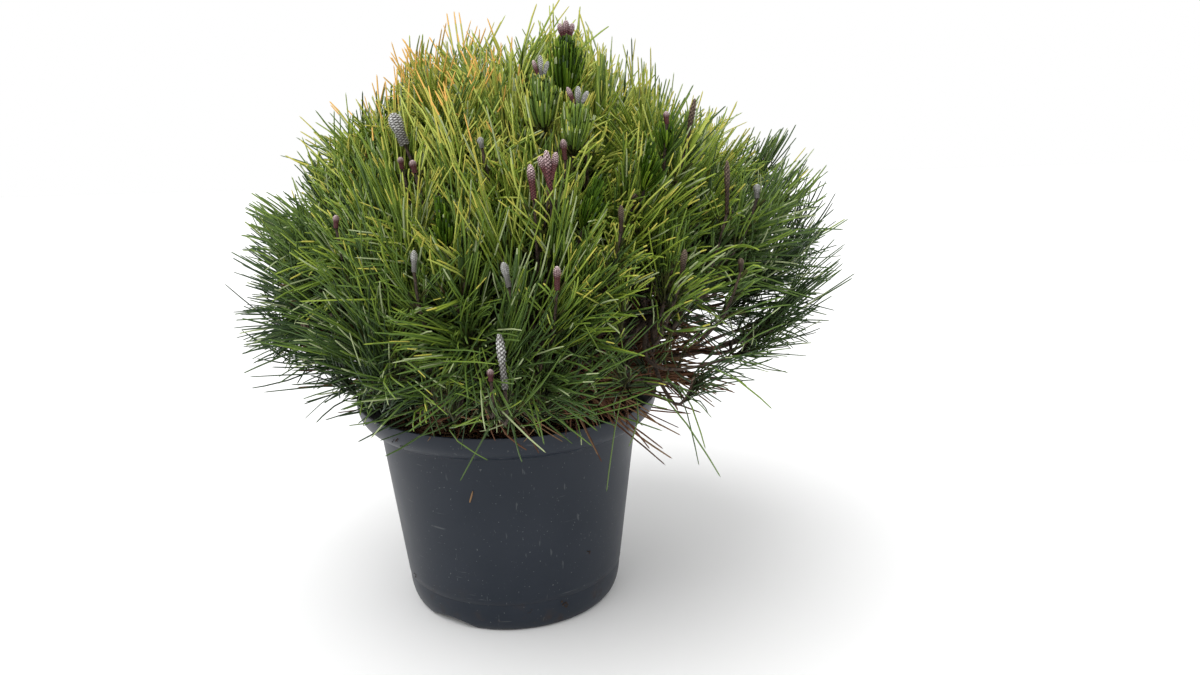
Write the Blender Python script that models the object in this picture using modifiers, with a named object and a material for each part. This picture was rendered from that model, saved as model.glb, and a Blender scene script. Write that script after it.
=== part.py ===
"""A mugo pine in its nursery pot, at real size, in metres, +Z up.

The origin lies on the ground under the middle of the pot. The pot is a turned shell,
filled with a root ball. A short trunk stands on the root ball and carries a spiral of
tapering boughs. Each bough ends in a mass of foliage, which keeps to its own part of
the crown: one stem, side shoots round it by the golden angle, and long needles.
"""

import math
import random

import bmesh
import bpy
from mathutils import Matrix, Vector
from mathutils.kdtree import KDTree

# Pot: a 7.5 litre container, 28 cm across its lip
POT_HEIGHT = 0.200
LIP_RADIUS = 0.140
COLLAR_HEIGHT = 0.0248
COLLAR_FLARE = 0.0193
FOOT_HEIGHT = 0.0286
FOOT_RADIUS = 0.0932
FOOT_FLARE = 0.0101
GROOVE_DEPTH = 0.0008
WALL = 0.0022
WELL_RADIUS = LIP_RADIUS - COLLAR_FLARE - WALL
FLOOR_THICKNESS = 0.0025
CHANNEL_HEIGHT = 0.0100
CHANNEL_INNER = 0.062
CHANNEL_OUTER = 0.0905
CHANNEL_SLOPE = 0.004
NOTCH_WIDTH = 0.056
NOTCH_HEIGHT = 0.0092
NOTCH_AZIMUTHS = (231.0, 51.0)
NOTCH_DEPTH = 0.030
NOTCH_SIDES = 64

# Root ball
SOIL_TOP = 0.1780
SOIL_EDGE_DROP = 0.0020
SOIL_FLAT_RADIUS = 0.040

# Clearance between neighbouring pieces, and the fineness of turned pieces
GAP = 0.0003
TURN_STEPS = 36
ARC_STEPS = 3

# Trunk: its lean to the right, and its radius from the root flare to the tip
TRUNK_TOP = 0.395
TRUNK_LEAN = 0.022
TRUNK_SWAY = 0.006
FLARE_RADIUS = 0.0240
FLARE_HEIGHT = 0.014
FLARE_MIDDLE = 0.4
FLARE_SHARE = 0.62
STEM_RADIUS = 0.0160
TRUNK_TIP_RADIUS = 0.0055
TRUNK_RINGS = 6

# Crown: a lopsided dome of needle tips
CROWN_CENTRE = Vector((0.040, 0.0, 0.255))
CROWN_RADII = Vector((0.285, 0.272, 0.287))
CROWN_LOW = 0.148
FRONT_LIFT = 0.075
HUB = Vector((0.0, 0.0, 0.240))

# Boughs: a golden-angle spiral up the trunk
GOLDEN_ANGLE = math.radians(137.508)
BOUGH_COUNT = 19
FIRST_AZIMUTH = math.radians(-15.0)
FIRST_BOUGH_Z = 0.1990
BOUGH_STEP = 0.0079
LOW_SINE = -0.13
HIGH_SINE = 0.90
LOW_FRONT_SINE = 0.22
FRONT_TURN = 0.15
BOUGH_REACH = 0.42
BOUGH_SAG = 0.012
BOUGH_BASE_RADII = (0.0062, 0.0042)
BOUGH_TIP_RADII = (0.0040, 0.0032)
BOUGH_RINGS = 5

# Masses of foliage
STEM_REACH = 0.80
CELL_REACH = 0.72
TOP_CELL_RISE = 0.055
MASS_STEM_RADIUS = 0.0030
STEM_TIP_RADIUS = 0.0014
STEM_BOW = 0.0020
SHOOTS = 6
SHOOT_LENGTH = 0.046
SHOOT_RADII = (0.0031, 0.0024)
SHOOT_SPREAD = math.radians(47.0)
SHOOT_LIFT = 0.35
FIRST_SHOOT = 0.14
LAST_SHOOT = 0.84
END_SHOOT = 0.55
TRIES = 6

# Needles: straight three-sided spikes, larger than life
NEEDLES_A_SHOOT = 6
FIRST_NEEDLE = 0.34
LAST_NEEDLE = 0.97
NEEDLE_SHORT = 0.046
NEEDLE_LONG = 0.074
NEEDLE_RADIUS = 0.0015
NEEDLE_SPREAD = math.radians(42.0)
END_SPREAD = math.radians(9.0)
SHORTER = (1.0, 0.8, 0.62)
LIMB_SAMPLE = 0.0030
LIMB_MARGIN = 0.0012
POT_MARGIN = 0.0020
CELL_MARGIN = 0.0004
CROSSING_CELL = 0.0040
FREE_ROOT = 0.22
SEED = 41

# Materials: colour, roughness
COLOURS = {
    "pot": ((0.032, 0.038, 0.048, 1.0), 0.50),
    "soil": ((0.045, 0.026, 0.016, 1.0), 0.95),
    "bark": ((0.115, 0.070, 0.046, 1.0), 0.85),
    "needles": ((0.070, 0.140, 0.030, 1.0), 0.55),
}


# Scene and materials

def clear_scene():
    """Remove every object that is already in the scene."""
    for obj in list(bpy.data.objects):
        bpy.data.objects.remove(obj, do_unlink=True)


def new_collection(name):
    """Return an empty collection, linked to the scene."""
    collection = bpy.data.collections.new(name)
    bpy.context.scene.collection.children.link(collection)
    return collection


def new_material(name):
    """Return a Principled material from the table of colours."""
    colour, roughness = COLOURS[name]
    material = bpy.data.materials.new(name)
    material.use_nodes = True
    shader = material.node_tree.nodes["Principled BSDF"]
    shader.inputs["Base Color"].default_value = colour
    shader.inputs["Roughness"].default_value = roughness
    shader.inputs["Metallic"].default_value = 0.0
    material.diffuse_color = colour
    return material


def new_object(name, mesh, collection, material=None):
    """Link a new object that holds the mesh."""
    obj = bpy.data.objects.new(name, mesh)
    collection.objects.link(obj)
    if material is not None:
        mesh.materials.append(material)
    return obj


def evaluated_mesh(obj):
    """Return the object's mesh with its modifiers applied."""
    depsgraph = bpy.context.evaluated_depsgraph_get()
    return bpy.data.meshes.new_from_object(obj.evaluated_get(depsgraph))


# Turned and tubular shapes

def turned(name, profile, collection, material):
    """Turn a profile of (radius, height) points about the Z axis."""
    mesh = bpy.data.meshes.new(name)
    points = [(radius, 0.0, height) for radius, height in profile]
    edges = [(i, i + 1) for i in range(len(points) - 1)]
    mesh.from_pydata(points, edges, [])
    obj = new_object(name, mesh, collection, material)
    screw = obj.modifiers.new("Turn", "SCREW")
    screw.axis = "Z"
    screw.steps = TURN_STEPS
    screw.render_steps = TURN_STEPS
    screw.use_merge_vertices = True
    screw.merge_threshold = 0.00001
    screw.use_smooth_shade = False
    return obj


def tube(name, points, radii, resolution, collection, material=None):
    """Sweep a round section of changing radius along points, with closed ends."""
    curve = bpy.data.curves.new(name, "CURVE")
    curve.dimensions = "3D"
    curve.bevel_depth = 1.0
    curve.bevel_resolution = resolution
    curve.use_fill_caps = True
    spline = curve.splines.new("POLY")
    spline.points.add(len(points) - 1)
    for knot, point, radius in zip(spline.points, points, radii):
        knot.co = (*point, 1.0)
        knot.radius = radius
    guide = bpy.data.objects.new(name + "_guide", curve)
    collection.objects.link(guide)
    mesh = evaluated_mesh(guide)
    bpy.data.objects.remove(guide, do_unlink=True)
    shell = bmesh.new()
    shell.from_mesh(mesh)
    bmesh.ops.remove_doubles(shell, verts=shell.verts, dist=0.00001)
    shell.to_mesh(mesh)
    shell.free()
    mesh.name = name
    return new_object(name, mesh, collection, material)


def blend(low, high, t):
    """Mix two values by t from 0 to 1."""
    return low + (high - low) * t


# Pot and root ball

def quarter_arc(base, flare, bottom, height):
    """Points of a quarter ellipse that starts level at the bottom and ends upright."""
    turns = [math.pi / 2 * i / ARC_STEPS for i in range(ARC_STEPS + 1)]
    return [(base + flare * math.sin(a), bottom + height * (1.0 - math.cos(a))) for a in turns]


def pot_side():
    """Outer side of the pot, from the foot up to the lip."""
    collar_base = LIP_RADIUS - COLLAR_FLARE
    collar_bottom = POT_HEIGHT - COLLAR_HEIGHT
    foot = quarter_arc(FOOT_RADIUS, FOOT_FLARE - GROOVE_DEPTH, 0.0, FOOT_HEIGHT)
    body = [(FOOT_RADIUS + FOOT_FLARE, FOOT_HEIGHT + GROOVE_DEPTH), (collar_base, collar_bottom)]
    collar = quarter_arc(collar_base, COLLAR_FLARE, collar_bottom, COLLAR_HEIGHT)[1:]
    return foot + body + collar


def pot_well():
    """Inner side of the pot below its collar, from the middle of the floor upwards."""
    floor_top = FLOOR_THICKNESS
    ledge_top = CHANNEL_HEIGHT + FLOOR_THICKNESS
    inner_foot = FOOT_RADIUS + FOOT_FLARE - WALL
    floor = [(0.0, floor_top), (CHANNEL_INNER - 2 * CHANNEL_SLOPE, floor_top)]
    ledge = [(CHANNEL_INNER - CHANNEL_SLOPE, ledge_top), (inner_foot - CHANNEL_SLOPE, ledge_top)]
    return floor + ledge + [(inner_foot, FOOT_HEIGHT)]


def pot_cavity():
    """Inner side of the pot, from the middle of the floor up to the lip."""
    collar_bottom = POT_HEIGHT - COLLAR_HEIGHT + WALL
    collar = quarter_arc(WELL_RADIUS, COLLAR_FLARE, collar_bottom, COLLAR_HEIGHT - WALL)
    return pot_well() + collar


def pot_underside():
    """Underside of the pot: foot ring, drainage channel and flat middle."""
    return [
        (CHANNEL_OUTER, 0.0),
        (CHANNEL_OUTER - CHANNEL_SLOPE / 2, CHANNEL_HEIGHT),
        (CHANNEL_INNER, CHANNEL_HEIGHT),
        (CHANNEL_INNER - CHANNEL_SLOPE, 0.0),
        (0.0, 0.0),
    ]


def notch_cutter(azimuth, collection):
    """A level drum across the foot ring, whose top cuts one drainage arch."""
    half = NOTCH_WIDTH / 2
    radius = (half * half + NOTCH_HEIGHT * NOTCH_HEIGHT) / (2 * NOTCH_HEIGHT)
    mesh = bpy.data.meshes.new("notch_cutter")
    drum = bmesh.new()
    bmesh.ops.create_cone(
        drum, cap_ends=True, segments=NOTCH_SIDES, radius1=radius, radius2=radius, depth=NOTCH_DEPTH)
    drum.to_mesh(mesh)
    drum.free()
    cutter = new_object("notch_cutter", mesh, collection)
    outward = Vector((math.cos(azimuth), math.sin(azimuth), 0.0))
    cutter.rotation_euler = (0.0, math.pi / 2, azimuth)
    cutter.location = outward * (CHANNEL_OUTER + NOTCH_DEPTH / 3) + Vector((0.0, 0.0, NOTCH_HEIGHT - radius))
    return cutter


def make_pot(parts, cutters, material):
    """The pot's shell, with its drainage arches cut from the foot ring."""
    profile = pot_cavity() + pot_side()[::-1] + pot_underside()
    pot = turned("pot", profile, parts, material)
    for azimuth in NOTCH_AZIMUTHS:
        cut(pot, notch_cutter(math.radians(azimuth), cutters))
    return pot


def cut(obj, cutter):
    """Take the cutter's shape out of the object."""
    cutter.hide_render = True
    cutter.display_type = "WIRE"
    boolean = obj.modifiers.new("Cut", "BOOLEAN")
    boolean.operation = "DIFFERENCE"
    boolean.object = cutter


def make_soil(parts, material):
    """The root ball: the pot's cavity less a small gap, up to the soil's top."""
    side = [(max(radius - GAP, 0.0), height + GAP) for radius, height in pot_well()]
    top = [(0.0, SOIL_TOP), (SOIL_FLAT_RADIUS, SOIL_TOP)]
    edge = [(WELL_RADIUS - GAP, SOIL_TOP - SOIL_EDGE_DROP)]
    return turned("soil", top + edge + side[::-1], parts, material)


# Trunk and boughs

def trunk_axis(height):
    """Point of the trunk's axis at a height: upright at the foot, then leaning."""
    t = max(0.0, (height - SOIL_TOP - FLARE_HEIGHT) / (TRUNK_TOP - SOIL_TOP - FLARE_HEIGHT))
    return Vector((TRUNK_LEAN * t * t, TRUNK_SWAY * math.sin(math.pi * t), height))


def trunk_stations():
    """Points and radii of the trunk, from its flat cut to its tip."""
    foot = SOIL_TOP + GAP
    flare_top = foot + FLARE_HEIGHT
    points = [trunk_axis(foot), trunk_axis(foot + FLARE_HEIGHT * FLARE_MIDDLE)]
    radii = [FLARE_RADIUS, blend(FLARE_RADIUS, STEM_RADIUS, FLARE_SHARE)]
    for i in range(TRUNK_RINGS + 1):
        t = i / TRUNK_RINGS
        points.append(trunk_axis(blend(flare_top, TRUNK_TOP, t)))
        radii.append(blend(STEM_RADIUS, TRUNK_TIP_RADIUS, t))
    return points, radii


def crown_distance(point, direction):
    """Distance from a point inside the crown to its outer dome, along a direction."""
    p = Vector([(point[i] - CROWN_CENTRE[i]) / CROWN_RADII[i] for i in range(3)])
    d = Vector([direction[i] / CROWN_RADII[i] for i in range(3)])
    a, b, c = d.dot(d), p.dot(d), p.dot(p) - 1.0
    return (-b + math.sqrt(max(b * b - a * c, 0.0))) / a


def bough_direction(k):
    """Direction from the hub to the middle of mass k, lifted at the front."""
    azimuth = FIRST_AZIMUTH + GOLDEN_ANGLE * k
    share = k / (BOUGH_COUNT - 1)
    sine = blend(LOW_SINE, HIGH_SINE, share)
    front = max(0.0, -math.sin(azimuth + FRONT_TURN))
    sine += (1.0 - share) ** 2 * front * (LOW_FRONT_SINE - LOW_SINE)
    cosine = math.sqrt(1.0 - sine * sine)
    return Vector((cosine * math.cos(azimuth), cosine * math.sin(azimuth), sine))


def bough_stations(k):
    """Points and radii of bough k, a sagging curve from the trunk's axis outwards."""
    share = k / (BOUGH_COUNT - 1)
    outward = bough_direction(k)
    start = trunk_axis(FIRST_BOUGH_Z + BOUGH_STEP * k)
    tip = HUB + outward * crown_distance(HUB, outward) * BOUGH_REACH
    middle = (start + tip) / 2 - Vector((0.0, 0.0, BOUGH_SAG * (0.5 + share)))
    base_radius = blend(*BOUGH_BASE_RADII, share)
    tip_radius = blend(*BOUGH_TIP_RADII, share)
    points, radii = [], []
    for i in range(BOUGH_RINGS + 1):
        t = i / BOUGH_RINGS
        points.append(start * (1 - t) ** 2 + middle * 2 * t * (1 - t) + tip * t * t)
        radii.append(blend(base_radius, tip_radius, t))
    return points, radii


def make_trunk(parts, cutters, material):
    """The trunk, and a slightly thicker copy that clears the boughs from it."""
    points, radii = trunk_stations()
    trunk = tube("trunk", points, radii, 2, parts, material)
    clearance = tube("trunk_clearance", points, [r + GAP for r in radii], 2, cutters)
    return trunk, clearance


def make_boughs(parts, clearance, material):
    """All boughs, each cut clear of the trunk that carries it."""
    for k in range(BOUGH_COUNT):
        points, radii = bough_stations(k)
        bough = tube(f"bough_{k + 1:02d}", points, radii, 1, parts, material)
        cut(bough, clearance)


# Space of each mass

def limb_tree():
    """A search tree of points along the trunk and boughs, with their radii."""
    samples = []
    for points, radii in [trunk_stations()] + [bough_stations(k) for k in range(BOUGH_COUNT)]:
        for i in range(len(points) - 1):
            count = max(2, int((points[i + 1] - points[i]).length / LIMB_SAMPLE))
            for j in range(count + 1):
                t = j / count
                samples.append((points[i].lerp(points[i + 1], t), blend(radii[i], radii[i + 1], t)))
    tree = KDTree(len(samples))
    for index, (point, radius) in enumerate(samples):
        tree.insert(point, index)
    tree.balance()
    return tree, [radius for point, radius in samples]


def mass_centres():
    """Middle of every mass: one past each bough's tip, and one above the trunk."""
    centres = []
    for k in range(BOUGH_COUNT):
        outward = bough_direction(k)
        centres.append(HUB + outward * crown_distance(HUB, outward) * CELL_REACH)
    centres.append(trunk_axis(TRUNK_TOP) + Vector((0.0, 0.0, TOP_CELL_RISE)))
    return centres


class Space:
    """The part of the crown that belongs to one mass."""

    def __init__(self, centres, own, tree, limb_radii):
        self.centre = centres[own]
        self.walls = []
        for other, centre in enumerate(centres):
            if other != own:
                normal = (centre - self.centre).normalized()
                self.walls.append(((centre + self.centre) / 2, normal))
        self.tree = tree
        self.limb_radii = limb_radii
        self.taken = set()

    def holds(self, point, radius):
        """Tell if a ball lies in the cell, in the crown and clear of limbs and pot."""
        for corner, normal in self.walls:
            if (point - corner).dot(normal) > -(radius + CELL_MARGIN):
                return False
        return in_crown(point) and clear_of_pot(point, radius) and self.clear_of_limbs(point, radius)

    def clear_of_limbs(self, point, radius):
        """Tell if a ball keeps off the trunk and every bough."""
        for _, index, distance in self.tree.find_range(point, FLARE_RADIUS + radius + LIMB_MARGIN):
            if distance < self.limb_radii[index] + radius + LIMB_MARGIN:
                return False
        return True

    def holds_all(self, points, radius):
        """Tell if a whole row of balls fits."""
        return all(self.holds(point, radius) for point in points)

    def claim(self, start, end):
        """Mark the small cells on a line as taken, unless another twig has one of them."""
        steps = max(2, int((end - start).length / (CROSSING_CELL * 0.5)))
        cells = {tuple(round(c / CROSSING_CELL) for c in point) for point in stops(start, end, steps)}
        free = not cells & self.taken
        if free:
            self.taken |= cells
        return free


def in_crown(point):
    """Tell if a point lies under the dome and above the crown's lower edge."""
    scaled = [(point[i] - CROWN_CENTRE[i]) / CROWN_RADII[i] for i in range(3)]
    out = math.hypot(point.x, point.y)
    front = max(0.0, -point.y) / max(out, 0.001)
    low = CROWN_LOW + FRONT_LIFT * front * front
    return sum(s * s for s in scaled) < 1.02 and point.z > low


def clear_of_pot(point, radius):
    """Tell if a ball keeps off the pot's lip, wall and soil."""
    margin = radius + POT_MARGIN
    out = math.hypot(point.x, point.y)
    if point.z > POT_HEIGHT + margin:
        return True
    outside = out > LIP_RADIUS + margin
    inside = out < WELL_RADIUS - margin and point.z > SOIL_TOP + margin
    return outside or inside


# Twigs and needles

def side_vector(direction):
    """A unit vector square to a direction, as near to straight up as it can be."""
    up = Vector((0.0, 0.0, 1.0))
    side = up - direction * up.dot(direction)
    if side.length < 0.05:
        side = Vector((1.0, 0.0, 0.0)) - direction * direction.x
    return side.normalized()


def turned_off(direction, azimuth, spread):
    """Turn a direction off its own line by spread, towards an azimuth round it."""
    first = side_vector(direction)
    second = direction.cross(first)
    aside = first * math.cos(azimuth) + second * math.sin(azimuth)
    return (direction * math.cos(spread) + aside * math.sin(spread)).normalized()


def stops(start, end, steps=6):
    """Evenly spaced points from start to end."""
    return [start.lerp(end, i / steps) for i in range(steps + 1)]


def twig(name, root, tip, bow, radii, collection):
    """A three-sided tapering twig from root to tip, bowed aside at its middle."""
    line = tip - root
    length = line.length
    along = line / length
    across = side_vector(along)
    mesh = bpy.data.meshes.new(name)
    shape = bmesh.new()
    bmesh.ops.create_cone(
        shape, cap_ends=True, segments=3, radius1=radii[0], radius2=radii[1], depth=length)
    bmesh.ops.translate(shape, verts=shape.verts, vec=(0.0, 0.0, length / 2))
    if bow:
        everything = shape.verts[:] + shape.edges[:] + shape.faces[:]
        ring = bmesh.ops.bisect_plane(
            shape, geom=everything, plane_co=(0.0, 0.0, length / 2), plane_no=(0.0, 0.0, 1.0))
        middle = [v for v in ring["geom_cut"] if isinstance(v, bmesh.types.BMVert)]
        bmesh.ops.translate(shape, verts=middle, vec=(bow, 0.0, 0.0))
    turn = Matrix((across, along.cross(across), along)).transposed().to_4x4()
    bmesh.ops.transform(shape, matrix=Matrix.Translation(root) @ turn, verts=shape.verts)
    shape.to_mesh(mesh)
    shape.free()
    return new_object(name, mesh, collection)


def needle_tip(root, heading, space, chance):
    """Tip of a needle that reaches for the crown's dome, shortened until it fits, or None."""
    full = min(max(crown_distance(root, heading), NEEDLE_SHORT), NEEDLE_LONG)
    full *= chance.uniform(0.86, 1.0)
    for share in SHORTER:
        tip = root + heading * full * share
        fits = space.holds_all(stops(root, tip), NEEDLE_RADIUS)
        if fits and space.claim(root.lerp(tip, FREE_ROOT), tip):
            return tip
    return None


def add_needles(start, end, space, chance, loose):
    """Needles round the outer part of a shoot, closer to its line towards its end."""
    along = (end - start).normalized()
    azimuth = chance.uniform(0.0, math.tau)
    count = 0
    for i in range(NEEDLES_A_SHOOT):
        azimuth += GOLDEN_ANGLE
        share = i / (NEEDLES_A_SHOOT - 1)
        root = start.lerp(end, blend(FIRST_NEEDLE, LAST_NEEDLE, share))
        for attempt in range(TRIES):
            spread = blend(NEEDLE_SPREAD, END_SPREAD, share ** 1.5) * chance.uniform(0.8, 1.1)
            heading = turned_off(along, azimuth + 0.9 * attempt, spread * (1.0 - 0.1 * attempt))
            tip = needle_tip(root, heading, space, chance)
            if tip:
                twig("needle", root, tip, 0.0, (NEEDLE_RADIUS, 0.0), loose)
                count += 1
                break
    return count


def add_shoots(start, end, space, chance, loose):
    """Side shoots round a mass's stem and one at its tip, each with its needles."""
    along = (end - start).normalized()
    azimuth = chance.uniform(0.0, math.tau)
    count = add_needles(start.lerp(end, END_SHOOT), end, space, chance, loose)
    for i in range(SHOOTS):
        azimuth += GOLDEN_ANGLE
        share = blend(FIRST_SHOOT, LAST_SHOOT, i / (SHOOTS - 1))
        root = start.lerp(end, share) + stem_offset(share, along)
        for attempt in range(TRIES):
            spread = SHOOT_SPREAD * chance.uniform(0.8, 1.15) * (1.0 - 0.11 * attempt)
            heading = turned_off(along, azimuth + chance.uniform(-0.4, 0.4), spread)
            heading = (heading + Vector((0.0, 0.0, SHOOT_LIFT))).normalized()
            tip = root + heading * SHOOT_LENGTH * chance.uniform(0.85, 1.1)
            fits = space.holds_all(stops(root.lerp(tip, 0.15), tip), SHOOT_RADII[0])
            if fits and space.claim(root.lerp(tip, FREE_ROOT), tip):
                twig("shoot", root, tip, 0.0, SHOOT_RADII, loose)
                count += add_needles(root, tip, space, chance, loose)
                break
    return count


def stem_offset(share, along):
    """How far a stem's bow carries its axis off the straight line, at a share of it."""
    return side_vector(along) * -STEM_BOW * (1.0 - abs(2.0 * share - 1.0))


# Fusing and cleaning a mass

def fuse(stem, loose):
    """Join the stem with every object of a collection by one Boolean union."""
    union = stem.modifiers.new("Fuse", "BOOLEAN")
    union.operation = "UNION"
    union.operand_type = "COLLECTION"
    union.collection = loose
    fused = evaluated_mesh(stem)
    stem.modifiers.clear()
    stem.data = fused
    for piece in list(loose.objects):
        bpy.data.objects.remove(piece, do_unlink=True)


def keep_largest(mesh):
    """Drop every loose scrap but the body with the most corners."""
    shape = bmesh.new()
    shape.from_mesh(mesh)
    unseen = set(shape.verts)
    bodies = []
    while unseen:
        front = [unseen.pop()]
        body = set(front)
        while front:
            vert = front.pop()
            for edge in vert.link_edges:
                other = edge.other_vert(vert)
                if other in unseen:
                    unseen.discard(other)
                    body.add(other)
                    front.append(other)
        bodies.append(body)
    bodies.sort(key=len)
    scraps = [vert for body in bodies[:-1] for vert in body]
    bmesh.ops.delete(shape, geom=scraps, context="VERTS")
    shape.to_mesh(mesh)
    shape.free()
    return len(bodies) - 1


def make_mass(name, start, heading, space, loose, parts, material, chance):
    """One mass of foliage that grows on from the tip of its bough or of the trunk."""
    root = start + heading * GAP
    reach = crown_distance(start, heading)
    stem_share = (STEM_REACH - BOUGH_REACH) / (1.0 - BOUGH_REACH)
    tip = root + heading * reach * stem_share
    stem = twig(name, root, tip, -STEM_BOW, (MASS_STEM_RADIUS, STEM_TIP_RADIUS), parts)
    needles = add_shoots(root, tip, space, chance, loose)
    fuse(stem, loose)
    scraps = keep_largest(stem.data)
    stem.data.name = name
    stem.data.materials.clear()
    stem.data.materials.append(material)
    print(f"{name}: {needles} needles, {scraps} scraps, {len(stem.data.polygons)} faces")


def make_masses(parts, material):
    """Every mass: one past each bough's tip, and the top one past the trunk's tip."""
    tree, limb_radii = limb_tree()
    centres = mass_centres()
    loose = new_collection("loose twigs")
    stations = [bough_stations(k)[0] for k in range(BOUGH_COUNT)] + [trunk_stations()[0]]
    for k, points in enumerate(stations):
        heading = (points[-1] - points[-2]).normalized()
        space = Space(centres, k, tree, limb_radii)
        chance = random.Random(SEED + k)
        make_mass(f"mass_{k + 1:02d}", points[-1], heading, space, loose, parts, material, chance)
    bpy.data.collections.remove(loose)


def main():
    """Build the whole plant in its pot."""
    clear_scene()
    parts = new_collection("mugo pine")
    cutters = new_collection("cutters")
    materials = {name: new_material(name) for name in COLOURS}
    make_pot(parts, cutters, materials["pot"])
    make_soil(parts, materials["soil"])
    _, clearance = make_trunk(parts, cutters, materials["bark"])
    make_boughs(parts, clearance, materials["bark"])
    make_masses(parts, materials["needles"])


main()
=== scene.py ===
# %% [markdown]
# # A mugo pine in its nursery pot
#
# The plant is a low, round pine about as wide as it is tall, in a dark plastic pot. What
# makes it look alive is its needles: some twenty-four thousand of them, in pairs, on short
# shoots that fill a lopsided dome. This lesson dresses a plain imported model, the frame,
# whose pot, trunk, boughs and masses of foliage are already in their places, in metres.

# %% Load the frame
import math
from collections import namedtuple

import bpy
import numpy as np
from mathutils import Matrix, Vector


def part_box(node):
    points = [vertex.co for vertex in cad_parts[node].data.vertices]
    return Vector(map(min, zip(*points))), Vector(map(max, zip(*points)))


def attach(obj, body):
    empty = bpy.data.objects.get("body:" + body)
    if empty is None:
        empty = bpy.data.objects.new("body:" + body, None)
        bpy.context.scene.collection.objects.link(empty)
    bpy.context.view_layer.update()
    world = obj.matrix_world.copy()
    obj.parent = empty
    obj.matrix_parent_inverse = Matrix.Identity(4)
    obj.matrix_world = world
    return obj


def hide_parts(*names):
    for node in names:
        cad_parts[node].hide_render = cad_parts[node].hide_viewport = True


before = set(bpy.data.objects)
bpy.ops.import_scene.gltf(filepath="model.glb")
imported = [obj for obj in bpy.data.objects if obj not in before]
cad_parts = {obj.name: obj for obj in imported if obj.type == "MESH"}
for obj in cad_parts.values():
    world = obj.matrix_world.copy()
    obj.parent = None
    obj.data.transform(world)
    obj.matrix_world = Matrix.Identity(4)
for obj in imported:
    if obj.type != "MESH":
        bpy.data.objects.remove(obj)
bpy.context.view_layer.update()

# %% [markdown]
# ## The camera
#
# The photograph was taken from a little above the rim of the pot, with the camera turned
# to the right so that the plant stands left of the middle. The turn, the tilt and the
# small roll are kept as angles. A helper finds the line of sight through a pixel of the
# photograph, so that a candle seen there can be set where the line enters the crown.

# %% Place the camera
PHOTO_WIDTH, PHOTO_HEIGHT = 1200, 675
LENS, SENSOR = 30.0, 36.0
CAMERA_PLACE = np.array([0.0, -0.90903, 0.48043])
CAMERA_TURN, CAMERA_DROP, CAMERA_ROLL = math.radians(5.545), math.radians(14.477), math.radians(-1.225)

camera_data = bpy.data.cameras.new("camera")
camera_data.lens = LENS
camera_data.sensor_width = SENSOR
camera = bpy.data.objects.new("camera", camera_data)
bpy.context.scene.collection.objects.link(camera)
camera_turn = (
    Matrix.Rotation(-CAMERA_TURN, 3, "Z")
    @ Matrix.Rotation(math.pi / 2 - CAMERA_DROP, 3, "X")
    @ Matrix.Rotation(CAMERA_ROLL, 3, "Z")
)
camera.matrix_world = Matrix.Translation(CAMERA_PLACE) @ camera_turn.to_4x4()
bpy.context.scene.camera = camera


def sight_line(px, py):
    """Unit direction from the camera through a pixel of the photograph."""
    focal = PHOTO_WIDTH * LENS / SENSOR
    ray = np.array([(px - PHOTO_WIDTH / 2) / focal, (PHOTO_HEIGHT / 2 - py) / focal, -1.0])
    ray = np.array(camera_turn) @ ray
    return ray / np.linalg.norm(ray)


print("line of sight through the middle:", sight_line(600, 337.5).round(3))

# %% [markdown]
# ## Vectors in whole arrays
#
# A needle is cheap, but twenty-four thousand of them aren't if each is made by a loop. So
# every shape here is worked out for all its corners at once, with numpy, and handed to
# Blender as finished arrays.

# %% Array helpers
UP = np.array([0.0, 0.0, 1.0])
GOLDEN_ANGLE = math.radians(137.508)
chance = np.random.default_rng(41)


def blend(low, high, share):
    """low + (high - low) * share."""
    return low + (high - low) * share


def smooth_step(low, high, value):
    """0 below low, 1 above high, and 3 s^2 - 2 s^3 between."""
    share = np.clip((value - low) / (high - low), 0.0, 1.0)
    return share * share * (3.0 - 2.0 * share)


def dot(a, b):
    """Scalar product along the last axis, kept as a column."""
    return np.sum(a * b, axis=-1, keepdims=True)


def unit(vectors):
    """Vectors divided by their lengths."""
    return vectors / np.maximum(np.linalg.norm(vectors, axis=-1, keepdims=True), 1e-9)


def side_vectors(direction):
    """Two unit vectors square to each direction, the first as near to straight up as can be."""
    level = np.abs(direction[..., 2:3]) > 0.995
    guide = np.where(level, np.array([1.0, 0.0, 0.0]), UP)
    first = unit(guide - direction * dot(guide, direction))
    return first, np.cross(direction, first)


def turned_off(direction, azimuth, spread):
    """direction cos(spread) + aside sin(spread), with aside at an azimuth round the direction."""
    first, second = side_vectors(direction)
    aside = first * np.cos(azimuth)[..., None] + second * np.sin(azimuth)[..., None]
    return unit(direction * np.cos(spread)[..., None] + aside * np.sin(spread)[..., None])


def bezier(root, middle, tip, t):
    """Point (1-t)^2 root + 2t(1-t) middle + t^2 tip of a quadratic curve."""
    return root * (1 - t) ** 2 + middle * 2 * t * (1 - t) + tip * t * t


def some(count, share):
    """True for about that share of count things, at random."""
    return chance.uniform(0.0, 1.0, count) < share


# %% [markdown]
# ## From arrays to a mesh
#
# Pot, bark, twig, bud and needle are all the same thing: rings of corners carried along a
# line, closed at both ends. One function writes the faces of such a skin, with every face
# turned outwards, and can repeat them for any number of copies.

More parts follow.
